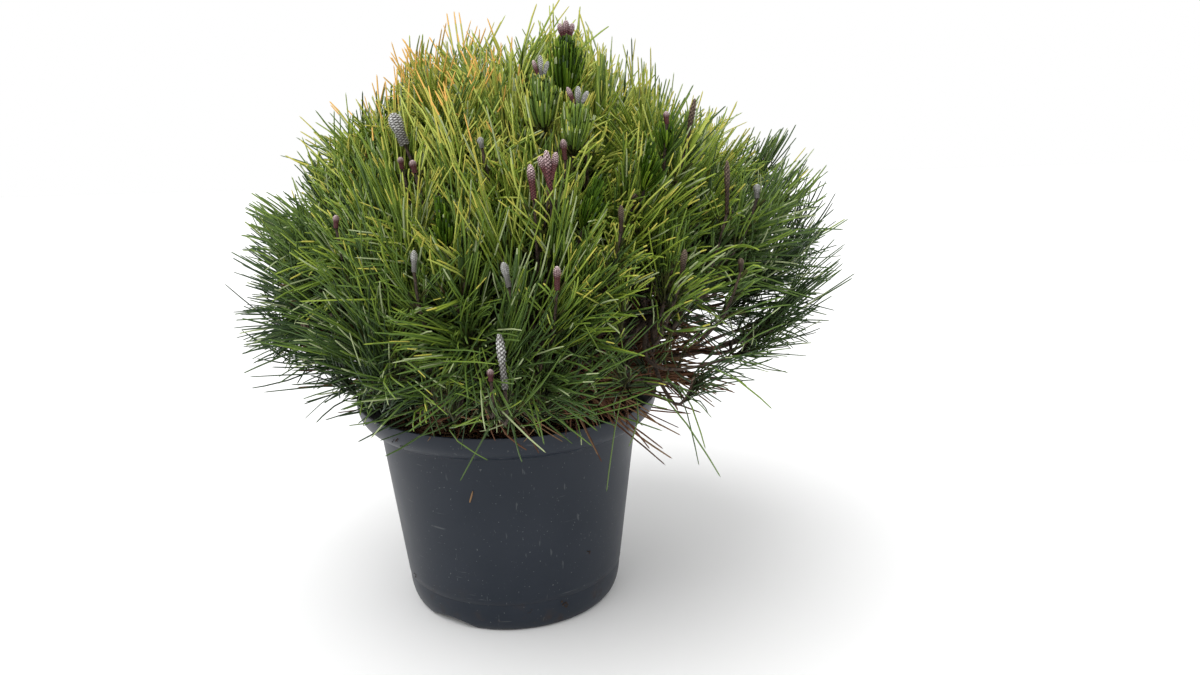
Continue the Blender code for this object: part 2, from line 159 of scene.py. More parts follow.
# %% Skins and pieces
def skin_faces(rows, sides, start_point=True):
    """Faces of a closed tube. Its corners are rows of rings, then the start's point, then the end's.

    Returns the corner numbers of all faces in a row, the size of each face, and its row.
    Without a start point, the first ring is closed by one flat face.
    """
    ring = np.arange(sides)
    after = (ring + 1) % sides
    lower = (np.arange(rows - 1) * sides)[:, None]
    quads = np.stack([lower + ring, lower + after, lower + sides + after, lower + sides + ring], axis=-1)
    end = rows * sides + (1 if start_point else 0)
    last = (rows - 1) * sides
    tip = np.stack([last + ring, last + after, np.full(sides, end)], axis=-1)
    if start_point:
        base = np.stack([after, ring, np.full(sides, rows * sides)], axis=-1)
    else:
        base = ring[::-1][None, :]
    loops = np.concatenate([quads.ravel(), base.ravel(), tip.ravel()])
    sizes = np.concatenate([
        np.full(quads.size // 4, 4), np.full(len(base), base.shape[1]), np.full(sides, 3)])
    face_row = np.concatenate([
        np.repeat(np.arange(rows - 1), sides), np.zeros(len(base), int), np.full(sides, rows - 1)])
    return loops, sizes, face_row


def repeat_faces(loops, sizes, corners, copies):
    """The faces of one skin, repeated for copies that have that many corners each."""
    shift = np.arange(copies)[:, None] * corners
    return (loops[None, :] + shift).ravel(), np.tile(sizes, copies)


def new_piece(name, points, loops, sizes, finishes, which=None, values=None):
    """A smooth mesh object from whole arrays, with one finish for each face and named values."""
    mesh = bpy.data.meshes.new(name)
    mesh.vertices.add(len(points))
    mesh.vertices.foreach_set("co", np.ascontiguousarray(points, dtype=np.float32).ravel())
    mesh.loops.add(len(loops))
    mesh.loops.foreach_set("vertex_index", np.ascontiguousarray(loops, dtype=np.int32))
    mesh.polygons.add(len(sizes))
    starts = np.concatenate([[0], np.cumsum(sizes)[:-1]])
    mesh.polygons.foreach_set("loop_start", starts.astype(np.int32))
    mesh.polygons.foreach_set("use_smooth", np.ones(len(sizes), dtype=bool))
    for finish in finishes:
        mesh.materials.append(finish)
    if which is not None:
        mesh.polygons.foreach_set("material_index", np.ascontiguousarray(which, dtype=np.int32))
    for title, numbers in (values or {}).items():
        layer = mesh.attributes.new(title, "FLOAT", "POINT")
        layer.data.foreach_set("value", np.ascontiguousarray(numbers, dtype=np.float32))
    mesh.update(calc_edges=True)
    piece = bpy.data.objects.new(name, mesh)
    bpy.context.scene.collection.objects.link(piece)
    triangles = int(np.sum(np.asarray(sizes) - 2))
    reach = np.concatenate([points.min(axis=0), points.max(axis=0)]).round(3).tolist()
    print(f"{name}: {triangles} triangles, box {reach}")
    return piece


def place(piece, slot, *nodes):
    """Let a piece ride with the plant and stand for the named nodes; its slot is not used."""
    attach(piece, "root")
    if nodes:
        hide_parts(*nodes)
    return piece


# %% [markdown]
# ## Finishes as sums
#
# A finish is a tree of nodes, and most of those nodes only do arithmetic. A small class
# wraps a node's output, so that `1 - mask * 0.5` writes the Math nodes by itself, and one
# method makes any other node from its type, its settings and its inputs.

# %% Finish helpers
class Signal:
    """A number or colour that changes over a surface."""

    def __init__(self, finish, socket):
        self.finish, self.socket = finish, socket

    def math(self, operation, *values):
        return self.finish.add("ShaderNodeMath", {"operation": operation}, dict(enumerate(values)))

    def __add__(self, other):
        return self.math("ADD", self, other)

    def __radd__(self, other):
        return self.math("ADD", other, self)

    def __rsub__(self, other):
        return self.math("SUBTRACT", other, self)

    def __mul__(self, other):
        return self.math("MULTIPLY", self, other)

    def over(self, low, high):
        """0 below low, 1 above high, straight between."""
        return self.finish.add(
            "ShaderNodeMapRange", {"clamp": True}, {"Value": self, "From Min": low, "From Max": high})


class Finish:
    """A material with one Principled shader."""

    def __init__(self, name, colour=(0.5, 0.5, 0.5), roughness=0.5):
        self.material = bpy.data.materials.new(name)
        self.material.use_nodes = True
        self.tree = self.material.node_tree
        self.shader = self.tree.nodes["Principled BSDF"]
        self.shader.inputs["Base Color"].default_value = (*colour, 1.0)
        self.shader.inputs["Roughness"].default_value = roughness
        self.material.diffuse_color = (*colour, 1.0)

    def add(self, kind, settings=None, inputs=None, output=0):
        """Make any node: settings first, then the values or links of its sockets."""
        node = self.tree.nodes.new(kind)
        for title, value in (settings or {}).items():
            setattr(node, title, value)
        for title, value in (inputs or {}).items():
            self.feed(node.inputs[title], value)
        return Signal(self, node.outputs[output])

    def feed(self, socket, value):
        """Link a signal to a socket, or set the socket's own value."""
        if isinstance(value, Signal):
            self.tree.links.new(value.socket, socket)
        elif isinstance(value, tuple) and len(value) == 3 and len(socket.default_value) == 4:
            socket.default_value = (*value, 1.0)
        else:
            socket.default_value = value

    def on_object(self, stretch=(1.0, 1.0, 1.0)):
        """Object coordinates, in metres, stretched along each axis."""
        where = self.add("ShaderNodeTexCoord", output=3)
        return self.add("ShaderNodeMapping", {}, {"Vector": where, "Scale": stretch})

    def noise(self, scale, detail=3.0, where=None):
        """Cloudy noise from 0 to 1, with scale clouds to a metre."""
        where = where or self.on_object()
        return self.add("ShaderNodeTexNoise", {}, {"Vector": where, "Scale": scale, "Detail": detail})

    def mix(self, share, first, second):
        """A colour between two others."""
        return self.add(
            "ShaderNodeMix", {"data_type": "RGBA"}, {0: share, 6: first, 7: second}, output=2)

    def carried(self, title):
        """A value that the piece's own corners carry."""
        return self.add("ShaderNodeAttribute", {"attribute_name": title}, output=2)

    def bump(self, height, distance, strength=1.0):
        """A small relief from a height between 0 and 1, with its depth in metres."""
        return self.add(
            "ShaderNodeBump", {}, {"Height": height, "Distance": distance, "Strength": strength})

    def paint(self, **sockets):
        """Feed the shader's sockets, named with _ for a space."""
        for title, value in sockets.items():
            self.feed(self.shader.inputs[title.replace("_", " ")], value)
        return self.material


# %% [markdown]
# ## The pot
#
# A nursery pot is moulded in one piece: a straight taper, a flared collar to carry it by,
# a rounded foot, a thin groove above the foot, and arches in the foot ring that let water
# out. It is turned from one profile. The arches are not cut: the rows of the foot are
# lifted over each arch, so the wall keeps its clean quads and its sharp shadow.

# %% Pot profile
POT_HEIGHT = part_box("pot")[1].z
LIP_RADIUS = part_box("pot")[1].x
COLLAR_HEIGHT, COLLAR_FLARE = 0.0248, 0.0193
FOOT_HEIGHT, FOOT_RADIUS, FOOT_FLARE = 0.0286, 0.0932, 0.0101
GROOVE_DEPTH, WALL, FLOOR = 0.0008, 0.0022, 0.0025
CHANNEL_HEIGHT, CHANNEL_INNER, CHANNEL_OUTER, CHANNEL_SLOPE = 0.0100, 0.062, 0.0905, 0.004
LIP_ROUND = 0.0009
WELL_RADIUS = LIP_RADIUS - COLLAR_FLARE - WALL
POT_COLUMNS = 288
ARC_ROWS = 14


def quarter_arc(base, flare, bottom, height, rows=ARC_ROWS):
    """Radius base + flare sin(a), height bottom + height (1 - cos(a)), for a from 0 to 90 degrees."""
    turn = np.linspace(0.0, math.pi / 2, rows)
    return np.stack([base + flare * np.sin(turn), bottom + height * (1.0 - np.cos(turn))], axis=-1)


def straight(start, end, rows):
    """Evenly spaced points from start to end, without the ends."""
    share = np.linspace(0.0, 1.0, rows + 2)[1:-1, None]
    return blend(np.array([start]), np.array([end]), share)


def pot_profile():
    """Radius and height from the middle of the underside, up the outside, over the lip and down."""
    collar_base, collar_bottom = LIP_RADIUS - COLLAR_FLARE, POT_HEIGHT - COLLAR_HEIGHT
    foot_edge, well_foot = FOOT_RADIUS + FOOT_FLARE, FOOT_RADIUS + FOOT_FLARE - WALL
    underside = np.array([
        (CHANNEL_INNER - CHANNEL_SLOPE, 0.0), (CHANNEL_INNER, CHANNEL_HEIGHT),
        (CHANNEL_OUTER - CHANNEL_SLOPE / 2, CHANNEL_HEIGHT), (CHANNEL_OUTER - 0.0004, 0.0004),
        (CHANNEL_OUTER, 0.0)])
    foot = quarter_arc(FOOT_RADIUS, FOOT_FLARE - GROOVE_DEPTH, 0.0, FOOT_HEIGHT, ARC_ROWS + 4)
    groove = np.array([
        (foot_edge - GROOVE_DEPTH, FOOT_HEIGHT + 0.0002), (foot_edge, FOOT_HEIGHT + GROOVE_DEPTH)])
    body = straight(groove[-1], (collar_base, collar_bottom), 24)
    step = np.array([(collar_base, collar_bottom - 0.0006), (collar_base + 0.0004, collar_bottom)])
    collar = quarter_arc(
        collar_base + 0.0004, COLLAR_FLARE - 0.0004, collar_bottom, COLLAR_HEIGHT - LIP_ROUND)
    turn = np.linspace(0.0, math.pi / 2, 5)
    rounding = np.stack([
        LIP_RADIUS - LIP_ROUND + LIP_ROUND * np.cos(turn),
        POT_HEIGHT - LIP_ROUND + LIP_ROUND * np.sin(turn)], axis=-1)[1:]
    inner = quarter_arc(WELL_RADIUS, COLLAR_FLARE, collar_bottom + WALL, COLLAR_HEIGHT - WALL - 0.0003)[::-1]
    well = straight((WELL_RADIUS, collar_bottom + WALL), (well_foot, FOOT_HEIGHT), 12)
    floor = np.array([
        (well_foot, FOOT_HEIGHT), (well_foot - CHANNEL_SLOPE, CHANNEL_HEIGHT + FLOOR),
        (CHANNEL_INNER - CHANNEL_SLOPE, CHANNEL_HEIGHT + FLOOR), (CHANNEL_INNER - 2 * CHANNEL_SLOPE, FLOOR)])
    return np.concatenate([underside, foot, groove, body, step, collar, rounding, inner, well, floor])


profile = pot_profile()
print("pot profile:", len(profile), "points, widest", profile[:, 0].max().round(4))

# %% Turn the pot and lift its arches
NOTCH_WIDTH, NOTCH_HEIGHT = 0.056, 0.0092
NOTCH_AZIMUTHS = np.radians([231.0, 51.0])


def arch_height(azimuth, radius):
    """Height of the drainage arch at an azimuth: a circle's top, cut off at the ground."""
    half = NOTCH_WIDTH / 2
    round_radius = (half * half + NOTCH_HEIGHT * NOTCH_HEIGHT) / (2 * NOTCH_HEIGHT)
    height = np.zeros_like(azimuth + radius)
    for notch in NOTCH_AZIMUTHS:
        off = np.angle(np.exp(1j * (azimuth - notch))) * radius
        rise = np.sqrt(np.maximum(round_radius**2 - off**2, 0.0)) - (round_radius - NOTCH_HEIGHT)
        height = np.maximum(height, rise)
    return height


def foot_radius(height):
    """Radius of the rounded foot at a height, from its quarter ellipse."""
    cosine = 1.0 - np.clip(height / FOOT_HEIGHT, 0.0, 1.0)
    return FOOT_RADIUS + (FOOT_FLARE - GROOVE_DEPTH) * np.sqrt(1.0 - cosine**2)


def turned_pot():
    """Corners of the pot: the profile at every azimuth, its foot rows lifted over the arches."""
    azimuth = np.arange(POT_COLUMNS) / POT_COLUMNS * math.tau
    radius = np.repeat(profile[:, 0:1], POT_COLUMNS, axis=1)
    height = np.repeat(profile[:, 1:2], POT_COLUMNS, axis=1)
    row = np.arange(len(profile))[:, None]
    first, last = 5, 5 + ARC_ROWS + 4
    arch = arch_height(azimuth[None, :], FOOT_RADIUS)
    on_foot = (row >= first) & (row < last) & (arch > 0)
    lifted = arch + height * (1.0 - arch / FOOT_HEIGHT)
    on_ring = (row >= 2) & (row < first)
    height = np.where(on_foot, lifted, np.where(on_ring, np.maximum(height, arch), height))
    radius = np.where(on_foot, foot_radius(lifted), radius)
    return np.stack([radius * np.cos(azimuth), radius * np.sin(azimuth), height], axis=-1)


pot_rings = turned_pot()
pot_ends = np.array([(0.0, 0.0, 0.0), (0.0, 0.0, FLOOR)])
pot_points = np.concatenate([pot_rings.reshape(-1, 3), pot_ends])
pot_loops, pot_sizes, _ = skin_faces(len(profile), POT_COLUMNS)

# %% [markdown]
# ### Anthracite plastic
#
# The moulding is a blue-grey satin black with a faint cloudy bloom, a few pale specks and
# fine scratches from handling, and peat dust under the collar and by the foot. The specks
# and the scratches are noise cut off near its top, so only its peaks show.

# %% Pot finish
POT_DARK, POT_BLOOM = (0.009, 0.014, 0.023), (0.014, 0.019, 0.029)
POT_SPECK, POT_PEAT = (0.16, 0.17, 0.17), (0.050, 0.030, 0.020)


def plastic():
    """Anthracite plastic: bloom, specks, scratches, peat dust and a fine moulded grain."""
    finish = Finish("anthracite plastic", POT_DARK, 0.42)
    finish.shader.inputs["Specular IOR Level"].default_value = 0.27
    bloom = finish.noise(16.0, 4.0).over(0.35, 0.70)
    specks = finish.noise(520.0, 1.0).over(0.735, 0.775)
    dashes = finish.noise(60.0, 2.0, finish.on_object((5.0, 5.0, 0.7))).over(0.70, 0.74)
    level_marks = finish.noise(38.0, 2.0, finish.on_object((0.7, 0.7, 9.0))).over(0.72, 0.76)
    height = finish.add("ShaderNodeSeparateXYZ", {}, {"Vector": finish.on_object()}, output=2)
    dust = finish.noise(60.0, 6.0).over(0.58, 0.76) * (1.0 - height.over(0.010, 0.045))
    marks = specks * 0.55 + dashes * 0.22 + level_marks * 0.28
    colour = finish.mix(bloom, POT_DARK, POT_BLOOM)
    colour = finish.mix(dust * 0.55, colour, POT_PEAT)
    colour = finish.mix(marks, colour, POT_SPECK)
    rough = 0.36 + bloom * 0.10 + marks * 0.25 + dust * 0.25
    grain = finish.noise(900.0, 2.0) * 0.7 + finish.noise(45.0, 2.0) * 1.2
    return finish.paint(Base_Color=colour, Roughness=rough, Normal=finish.bump(grain, 0.00012, 0.5))


pot_shell = new_piece("pot_shell", pot_points, pot_loops, pot_sizes, [plastic()])
place(pot_shell, "pot", "pot")

# %% [markdown]
# ## Cells on a surface
#
# Peat crumbs and bark plates are both cells: scatter some points, and every place belongs
# to its nearest one. The distance to the nearest point makes round crumbs. Where the two
# nearest are equally far lies the crack between two plates.

# %% Cells
def nearest_two(places, seeds):
    """Distances from every place to its nearest and its second nearest seed."""
    first, second = [], []
    for part in np.array_split(places, max(1, len(places) * len(seeds) // 4_000_000)):
        gaps = np.linalg.norm(part[:, None, :] - seeds[None, :, :], axis=-1)
        gaps.partition(1, axis=1)
        first.append(gaps[:, 0])
        second.append(gaps[:, 1])
    return np.concatenate(first), np.concatenate(second)


# %% [markdown]
# ## The root ball
#
# Peat fills the pot to a finger's width below its lip. The top is crumbs of two sizes on
# a gently uneven bed, and the sides follow the pot's own well, so it is a whole block
# that could be lifted out.

# %% Peat
SOIL_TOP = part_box("soil")[1].z
SOIL_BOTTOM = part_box("soil")[0].z
GAP = 0.0003
SOIL_COLUMNS, SOIL_ROWS = 240, 70


def crumbs(places, count, radius, height, extent):
    """height * sqrt(1 - (distance / radius)^2) round each of count scattered seeds."""
    reach = np.sqrt(chance.uniform(0.0, 1.0, count)) * extent
    turn = chance.uniform(0.0, math.tau, count)
    seeds = np.stack([reach * np.cos(turn), reach * np.sin(turn)], axis=-1)
    near, _ = nearest_two(places, seeds)
    return height * np.sqrt(np.maximum(1.0 - (near / radius) ** 2, 0.0))


def root_ball():
    """Corners of the peat: a crumbly disc, then the sides down to the flat bottom."""
    edge = WELL_RADIUS - GAP
    radius = np.linspace(0.0, 1.0, SOIL_ROWS + 1)[1:] ** 0.75 * edge
    azimuth = np.arange(SOIL_COLUMNS) / SOIL_COLUMNS * math.tau
    ring, turn = np.meshgrid(radius, azimuth, indexing="ij")
    flat = np.stack([ring * np.cos(turn), ring * np.sin(turn)], axis=-1).reshape(-1, 2)
    height = crumbs(flat, 420, 0.0060, 0.0026, edge) + crumbs(flat, 900, 0.0034, 0.0017, edge)
    height += 0.0012 * np.sin(flat[:, 0] * 61.0) * np.cos(flat[:, 1] * 47.0)
    height *= 1.0 - 0.8 * smooth_step(0.97, 1.0, ring.ravel() / edge)
    top = np.column_stack([flat, SOIL_TOP - 0.0030 + height])
    side = np.array([
        (edge, SOIL_TOP - 0.004), (FOOT_RADIUS + FOOT_FLARE - WALL - GAP, FOOT_HEIGHT + GAP),
        (FOOT_RADIUS + FOOT_FLARE - WALL - CHANNEL_SLOPE - GAP, CHANNEL_HEIGHT + FLOOR + GAP),
        (CHANNEL_INNER - CHANNEL_SLOPE - GAP, CHANNEL_HEIGHT + FLOOR + GAP),
        (CHANNEL_INNER - 2 * CHANNEL_SLOPE - GAP, SOIL_BOTTOM)])
    below = np.stack([
        side[:, 0:1] * np.cos(azimuth), side[:, 0:1] * np.sin(azimuth),
        np.repeat(side[:, 1:2], SOIL_COLUMNS, axis=1)], axis=-1).reshape(-1, 3)
    rings = np.concatenate([top, below]).reshape(-1, SOIL_COLUMNS, 3)[::-1].reshape(-1, 3)
    crumb_height = np.concatenate([height, np.zeros(len(below))]).reshape(-1, SOIL_COLUMNS)[::-1].ravel()
    ends = np.array([(0.0, 0.0, SOIL_BOTTOM), (0.0, 0.0, SOIL_TOP - 0.0015)])
    return np.concatenate([rings, ends]), np.concatenate([crumb_height, [0.0, 0.001]]) / 0.004


def peat():
    """Moist peat: dark brown, paler on its crumbs, with grey and tan fibres."""
    finish = Finish("moist peat", (0.040, 0.024, 0.015), 0.95)
    crumb = finish.carried("crumb")
    cloud = finish.noise(70.0, 5.0).over(0.3, 0.75)
    fibre = finish.noise(900.0, 3.0).over(0.62, 0.70)
    colour = finish.mix(crumb * 0.6 + cloud * 0.4, (0.020, 0.012, 0.008), (0.085, 0.050, 0.030))
    colour = finish.mix(fibre * 0.5, colour, (0.20, 0.14, 0.09))
    return finish.paint(Base_Color=colour, Normal=finish.bump(finish.noise(1400.0, 4.0), 0.0006))


soil_points, soil_crumbs = root_ball()
soil_loops, soil_sizes, _ = skin_faces(SOIL_ROWS + 5, SOIL_COLUMNS)
soil_piece = new_piece(
    "peat_root_ball", soil_points, soil_loops, soil_sizes, [peat()], values={"crumb": soil_crumbs})
place(soil_piece, "soil", "soil")

# %% [markdown]
# ## The rule of growth
#
# The frame's trunk, boughs and masses follow one rule, written again here so that the fine
# twigs grow on from the very limbs that carry them. Boughs climb the trunk by the golden
# angle. Each ends inside a lopsided dome, and its mass of foliage goes on to the dome.

# %% Dome of the crown
CROWN_CENTRE = np.array([0.040, 0.0, 0.255])
CROWN_RADII = np.array([0.285, 0.272, 0.287])
SKIRT_LOW, SKIRT_SLOPE, SKIRT_RADIUS = 0.185, 0.45, 0.14
SKIRT_FRONT, SKIRT_LEFT, SKIRT_RIGHT = 0.008, 0.030, -0.024
HUB = np.array([0.0, 0.0, 0.240])
Lobe = namedtuple("Lobe", "towards depth width")
LOBES = [
    Lobe((0.60, 0.0, 0.80), -0.160, 15.0),
    Lobe((0.86, 0.0, 0.50), 0.085, 11.0),
    Lobe((0.36, 0.0, 0.93), -0.060, 9.0),
    Lobe((-0.67, 0.0, 0.74), -0.075, 10.0),
    Lobe((-0.20, 0.0, 0.97), 0.010, 12.0),
    Lobe((-0.99, 0.0, 0.12), -0.090, 12.0),
    Lobe((0.95, -0.1, 0.34), 0.060, 14.0),
    Lobe((0.86, -0.2, -0.44), -0.170, 19.0),
    Lobe((-0.92, -0.2, -0.34), -0.150, 18.0),
    Lobe((0.30, 0.90, 0.35), 0.030, 16.0),
    Lobe((-0.45, 0.80, 0.45), -0.060, 15.0),
    Lobe((0.55, 0.75, -0.15), -0.060, 16.0),
]


def lobe_share(rays):
    """1 + the sum of depth * exp(-(1 - cosine) / (1 - cos(width))) over the lobes."""
    share = np.ones(rays.shape[:-1] + (1,))
    for lobe in LOBES:
        cosine = dot(rays, unit(np.array(lobe.towards)))
        share = share + lobe.depth * np.exp(-(1.0 - cosine) / (1.0 - math.cos(math.radians(lobe.width))))
    return share


def dome_share(points):
    """How far out points lie between the dome's middle, 0, and its lobed surface, 1."""
    scaled = (points - CROWN_CENTRE) / CROWN_RADII
    reach = np.linalg.norm(scaled, axis=-1, keepdims=True)
    return reach / lobe_share(scaled / np.maximum(reach, 1e-6))


def crown_distance(point, direction):
    """Distance from a point inside the crown to its plain dome, along a direction."""
    p = (point - CROWN_CENTRE) / CROWN_RADII
    d = direction / CROWN_RADII
    a, b, c = dot(d, d), dot(p, d), dot(p, p) - 1.0
    return (-b + np.sqrt(np.maximum(b * b - a * c, 0.0))) / a


def skirt(points):
    """Height of the crown's lower edge: it rises outwards, and lies lowest on the right.

    SKIRT_LOW + SKIRT_SLOPE (radius - SKIRT_RADIUS), plus a part for each of the front, the
    left and the right, by how far a point faces that way.
    """
    x, y = points[..., 0], points[..., 1]
    out = np.maximum(np.hypot(x, y), 0.001)
    front, left, right = np.maximum(-y, 0.0) / out, np.maximum(-x, 0.0) / out, np.maximum(x, 0.0) / out
    rise = SKIRT_SLOPE * np.maximum(out - SKIRT_RADIUS, 0.0)
    return SKIRT_LOW + rise + SKIRT_FRONT * front + SKIRT_LEFT * left + SKIRT_RIGHT * right**4


def on_crown(px, py, share):
    """Where the line of sight through a pixel enters the dome shrunk to share, or passes nearest."""
    ray = sight_line(px, py) / CROWN_RADII
    start = (CAMERA_PLACE - CROWN_CENTRE) / CROWN_RADII
    a, b, c = np.dot(ray, ray), np.dot(start, ray), np.dot(start, start) - share**2
    reach = (-b - math.sqrt(max(b * b - a * c, 0.0))) / a
    return CAMERA_PLACE + sight_line(px, py) * reach


def upright(base, share, *pixels):
    """Where lines of sight meet the upright plane, facing the camera, through on_crown(base, share)."""
    depth = on_crown(*base, share)[1] - CAMERA_PLACE[1]
    rays = np.array([sight_line(*pixel) for pixel in pixels])
    return CAMERA_PLACE + rays * (depth / rays[:, 1:2])


def clear_of_pot(points, margin):
    """True where points keep off the pot's wall and lip and off the peat."""
    out, height = np.hypot(points[..., 0], points[..., 1]), points[..., 2]
    above = height > POT_HEIGHT + margin
    outside = out > LIP_RADIUS + margin
    inside = (out < WELL_RADIUS - margin) & (height > SOIL_TOP + 0.001)
    return above | outside | inside


print("crown height above the hub:", crown_distance(HUB, UP).round(4))

# %% Trunk and boughs
TRUNK_TOP, TRUNK_LEAN, TRUNK_SWAY = 0.395, 0.022, 0.006
FLARE_RADIUS, FLARE_HEIGHT, FLARE_MIDDLE, FLARE_SHARE = 0.0240, 0.014, 0.4, 0.62
STEM_RADIUS, TRUNK_TIP_RADIUS = 0.0160, 0.0055
BOUGH_COUNT = 19
FIRST_AZIMUTH, FIRST_BOUGH_Z, BOUGH_STEP = math.radians(-15.0), 0.1990, 0.0079
LOW_SINE, HIGH_SINE, LOW_FRONT_SINE, FRONT_TURN = -0.13, 0.90, 0.22, 0.15
BOUGH_REACH, BOUGH_SAG = 0.42, 0.012
BOUGH_BASE_RADII, BOUGH_TIP_RADII = (0.0062, 0.0042), (0.0040, 0.0032)
STEM_REACH, STEM_BOW, MASS_STEM_RADIUS, STEM_TIP_RADIUS = 0.80, 0.0020, 0.0030, 0.0014


def trunk_axis(height):
    """Points of the trunk's axis: upright at the foot, then leaning with t^2 and swaying."""
    height = np.asarray(height, dtype=float)
    t = np.maximum((height - SOIL_TOP - FLARE_HEIGHT) / (TRUNK_TOP - SOIL_TOP - FLARE_HEIGHT), 0.0)
    return np.stack([TRUNK_LEAN * t * t, TRUNK_SWAY * np.sin(math.pi * t), height], axis=-1)


def bough_direction(k):
    """Direction from the hub to the middle of mass k: golden-angle azimuth, rising sine."""
    azimuth = FIRST_AZIMUTH + GOLDEN_ANGLE * k
    share = k / (BOUGH_COUNT - 1)
    front = max(0.0, -math.sin(azimuth + FRONT_TURN))
    sine = blend(LOW_SINE, HIGH_SINE, share) + (1.0 - share) ** 2 * front * (LOW_FRONT_SINE - LOW_SINE)
    cosine = math.sqrt(1.0 - sine * sine)
    return np.array([cosine * math.cos(azimuth), cosine * math.sin(azimuth), sine])


def bough_ends(k):
    """Start, middle and tip of bough k's curve, and its radii at both ends."""
    share = k / (BOUGH_COUNT - 1)
    outward = bough_direction(k)
    start = trunk_axis(FIRST_BOUGH_Z + BOUGH_STEP * k)
    tip = HUB + outward * crown_distance(HUB, outward) * BOUGH_REACH
    middle = (start + tip) / 2 - UP * BOUGH_SAG * (0.5 + share)
    return start, middle, tip, blend(*BOUGH_BASE_RADII, share), blend(*BOUGH_TIP_RADII, share)


def mass_stem(k):
    """Root, tip and heading of the stem of mass k, which starts at its bough's tip."""
    if k < BOUGH_COUNT:
        start, middle, end, _, _ = bough_ends(k)
        heading = unit(end - bezier(start, middle, end, 0.8))
    else:
        end = trunk_axis(TRUNK_TOP)
        heading = unit(end - trunk_axis(TRUNK_TOP - 0.03))
    root = end + heading * GAP
    share = (STEM_REACH - BOUGH_REACH) / (1.0 - BOUGH_REACH)
    return root, root + heading * crown_distance(end, heading) * share, heading


MASS_COUNT = BOUGH_COUNT + 1
stems = [mass_stem(k) for k in range(MASS_COUNT)]
outwards = np.array([bough_direction(k) for k in range(BOUGH_COUNT)] + [unit(stems[-1][1] - HUB)])
print("stems reach", min(tip[2] for _, tip, _ in stems).round(3), "to", stems[-1][1][2].round(3), "m high")

# %% [markdown]
# ## Bark
#
# Old mugo bark breaks into small scaly plates with dark cracks between them. The relief is
# real: each ring's radius is pushed out on the plates and in at the cracks, and the same
# number, carried by the corners, tints the cracks dark.

# %% Bark relief
TRUNK_ROWS, TRUNK_SIDES = 130, 72
BOUGH_ROWS, BOUGH_SIDES = 60, 26
PLATE = 0.0052


def ring_corners(axis, radii, along):
    """Corners axis + radius (cos(a) first + sin(a) second) of a ring at every point of an axis."""
    sides = radii.shape[-1]
    turn = np.arange(sides) / sides * math.tau
    first, second = side_vectors(along)
    out = first[..., None, :] * np.cos(turn)[:, None] + second[..., None, :] * np.sin(turn)[:, None]
    return axis[..., None, :] + out * radii[..., None]


def bark_tube(axis, radii, sides, plate, depth):
    """A limb's corners with scaly relief, and how deep in a crack each lies, from 0 to 1."""
    steps = np.linalg.norm(np.diff(axis, axis=0), axis=1)
    run = np.concatenate([[0.0], np.cumsum(steps)])
    turn = np.arange(sides) / sides * math.tau
    around = np.repeat(turn[None, :], len(axis), axis=0)
    mean = float(np.mean(radii))
    places = np.stack([
        mean * np.cos(around), mean * np.sin(around), np.repeat(run[:, None], sides, axis=1) * 0.62],
        axis=-1).reshape(-1, 3)
    count = max(24, int(math.tau * mean * run[-1] * 0.62 / plate**2))
    seed_turn = chance.uniform(0.0, math.tau, count)
    seed_run = chance.uniform(0.0, run[-1] * 0.62, count)
    seeds = np.stack([mean * np.cos(seed_turn), mean * np.sin(seed_turn), seed_run], axis=-1)
    near, second = nearest_two(places, seeds)
    crack = 1.0 - smooth_step(0.0, 0.45, (second - near) / plate)
    lift = depth * (0.45 - crack) + depth * 0.3 * chance.normal(0.0, 1.0, len(crack))
    relief = radii[:, None] + lift.reshape(len(axis), sides)
    relief[-3:] = radii[-3:, None]
    along = unit(np.gradient(axis, axis=0))
    rings = ring_corners(axis, relief, along)
    points = np.concatenate([rings.reshape(-1, 3), axis[:1], axis[-1:] + along[-1:] * radii[-1] * 0.6])
    return points, np.concatenate([crack, [0.0, 0.0]])


def trunk_tube():
    """The trunk: a root flare, then an even taper to its tip."""
    foot = SOIL_TOP + GAP
    height = np.linspace(foot, TRUNK_TOP, TRUNK_ROWS)
    flare = np.array([foot, foot + FLARE_HEIGHT * FLARE_MIDDLE, foot + FLARE_HEIGHT, TRUNK_TOP])
    sizes = np.array([
        FLARE_RADIUS, blend(FLARE_RADIUS, STEM_RADIUS, FLARE_SHARE), STEM_RADIUS, TRUNK_TIP_RADIUS])
    return bark_tube(trunk_axis(height), np.interp(height, flare, sizes), TRUNK_SIDES, PLATE, 0.0009)


def bough_tube(k):
    """Bough k, along the frame's own curve and taper."""
    start, middle, tip, base_radius, tip_radius = bough_ends(k)
    t = np.linspace(0.04, 1.0, BOUGH_ROWS)[:, None]
    radii = blend(base_radius, tip_radius, t[:, 0])
    return bark_tube(bezier(start, middle, tip, t), radii, BOUGH_SIDES, PLATE * 0.55, 0.0004)


def bark():
    """Scaly bark: grey-brown plates, red-brown edges, dark cracks."""
    finish = Finish("scaly bark", (0.115, 0.070, 0.046), 0.85)
    crack = finish.carried("crack")
    cloud = finish.noise(140.0, 4.0).over(0.3, 0.7)
    colour = finish.mix(cloud, (0.095, 0.062, 0.045), (0.21, 0.165, 0.130))
    colour = finish.mix(crack.over(0.25, 0.95), colour, (0.026, 0.016, 0.011))
    fibres = finish.noise(500.0, 4.0, finish.on_object((1.0, 1.0, 0.35)))
    return finish.paint(Base_Color=colour, Normal=finish.bump(fibres, 0.0006))


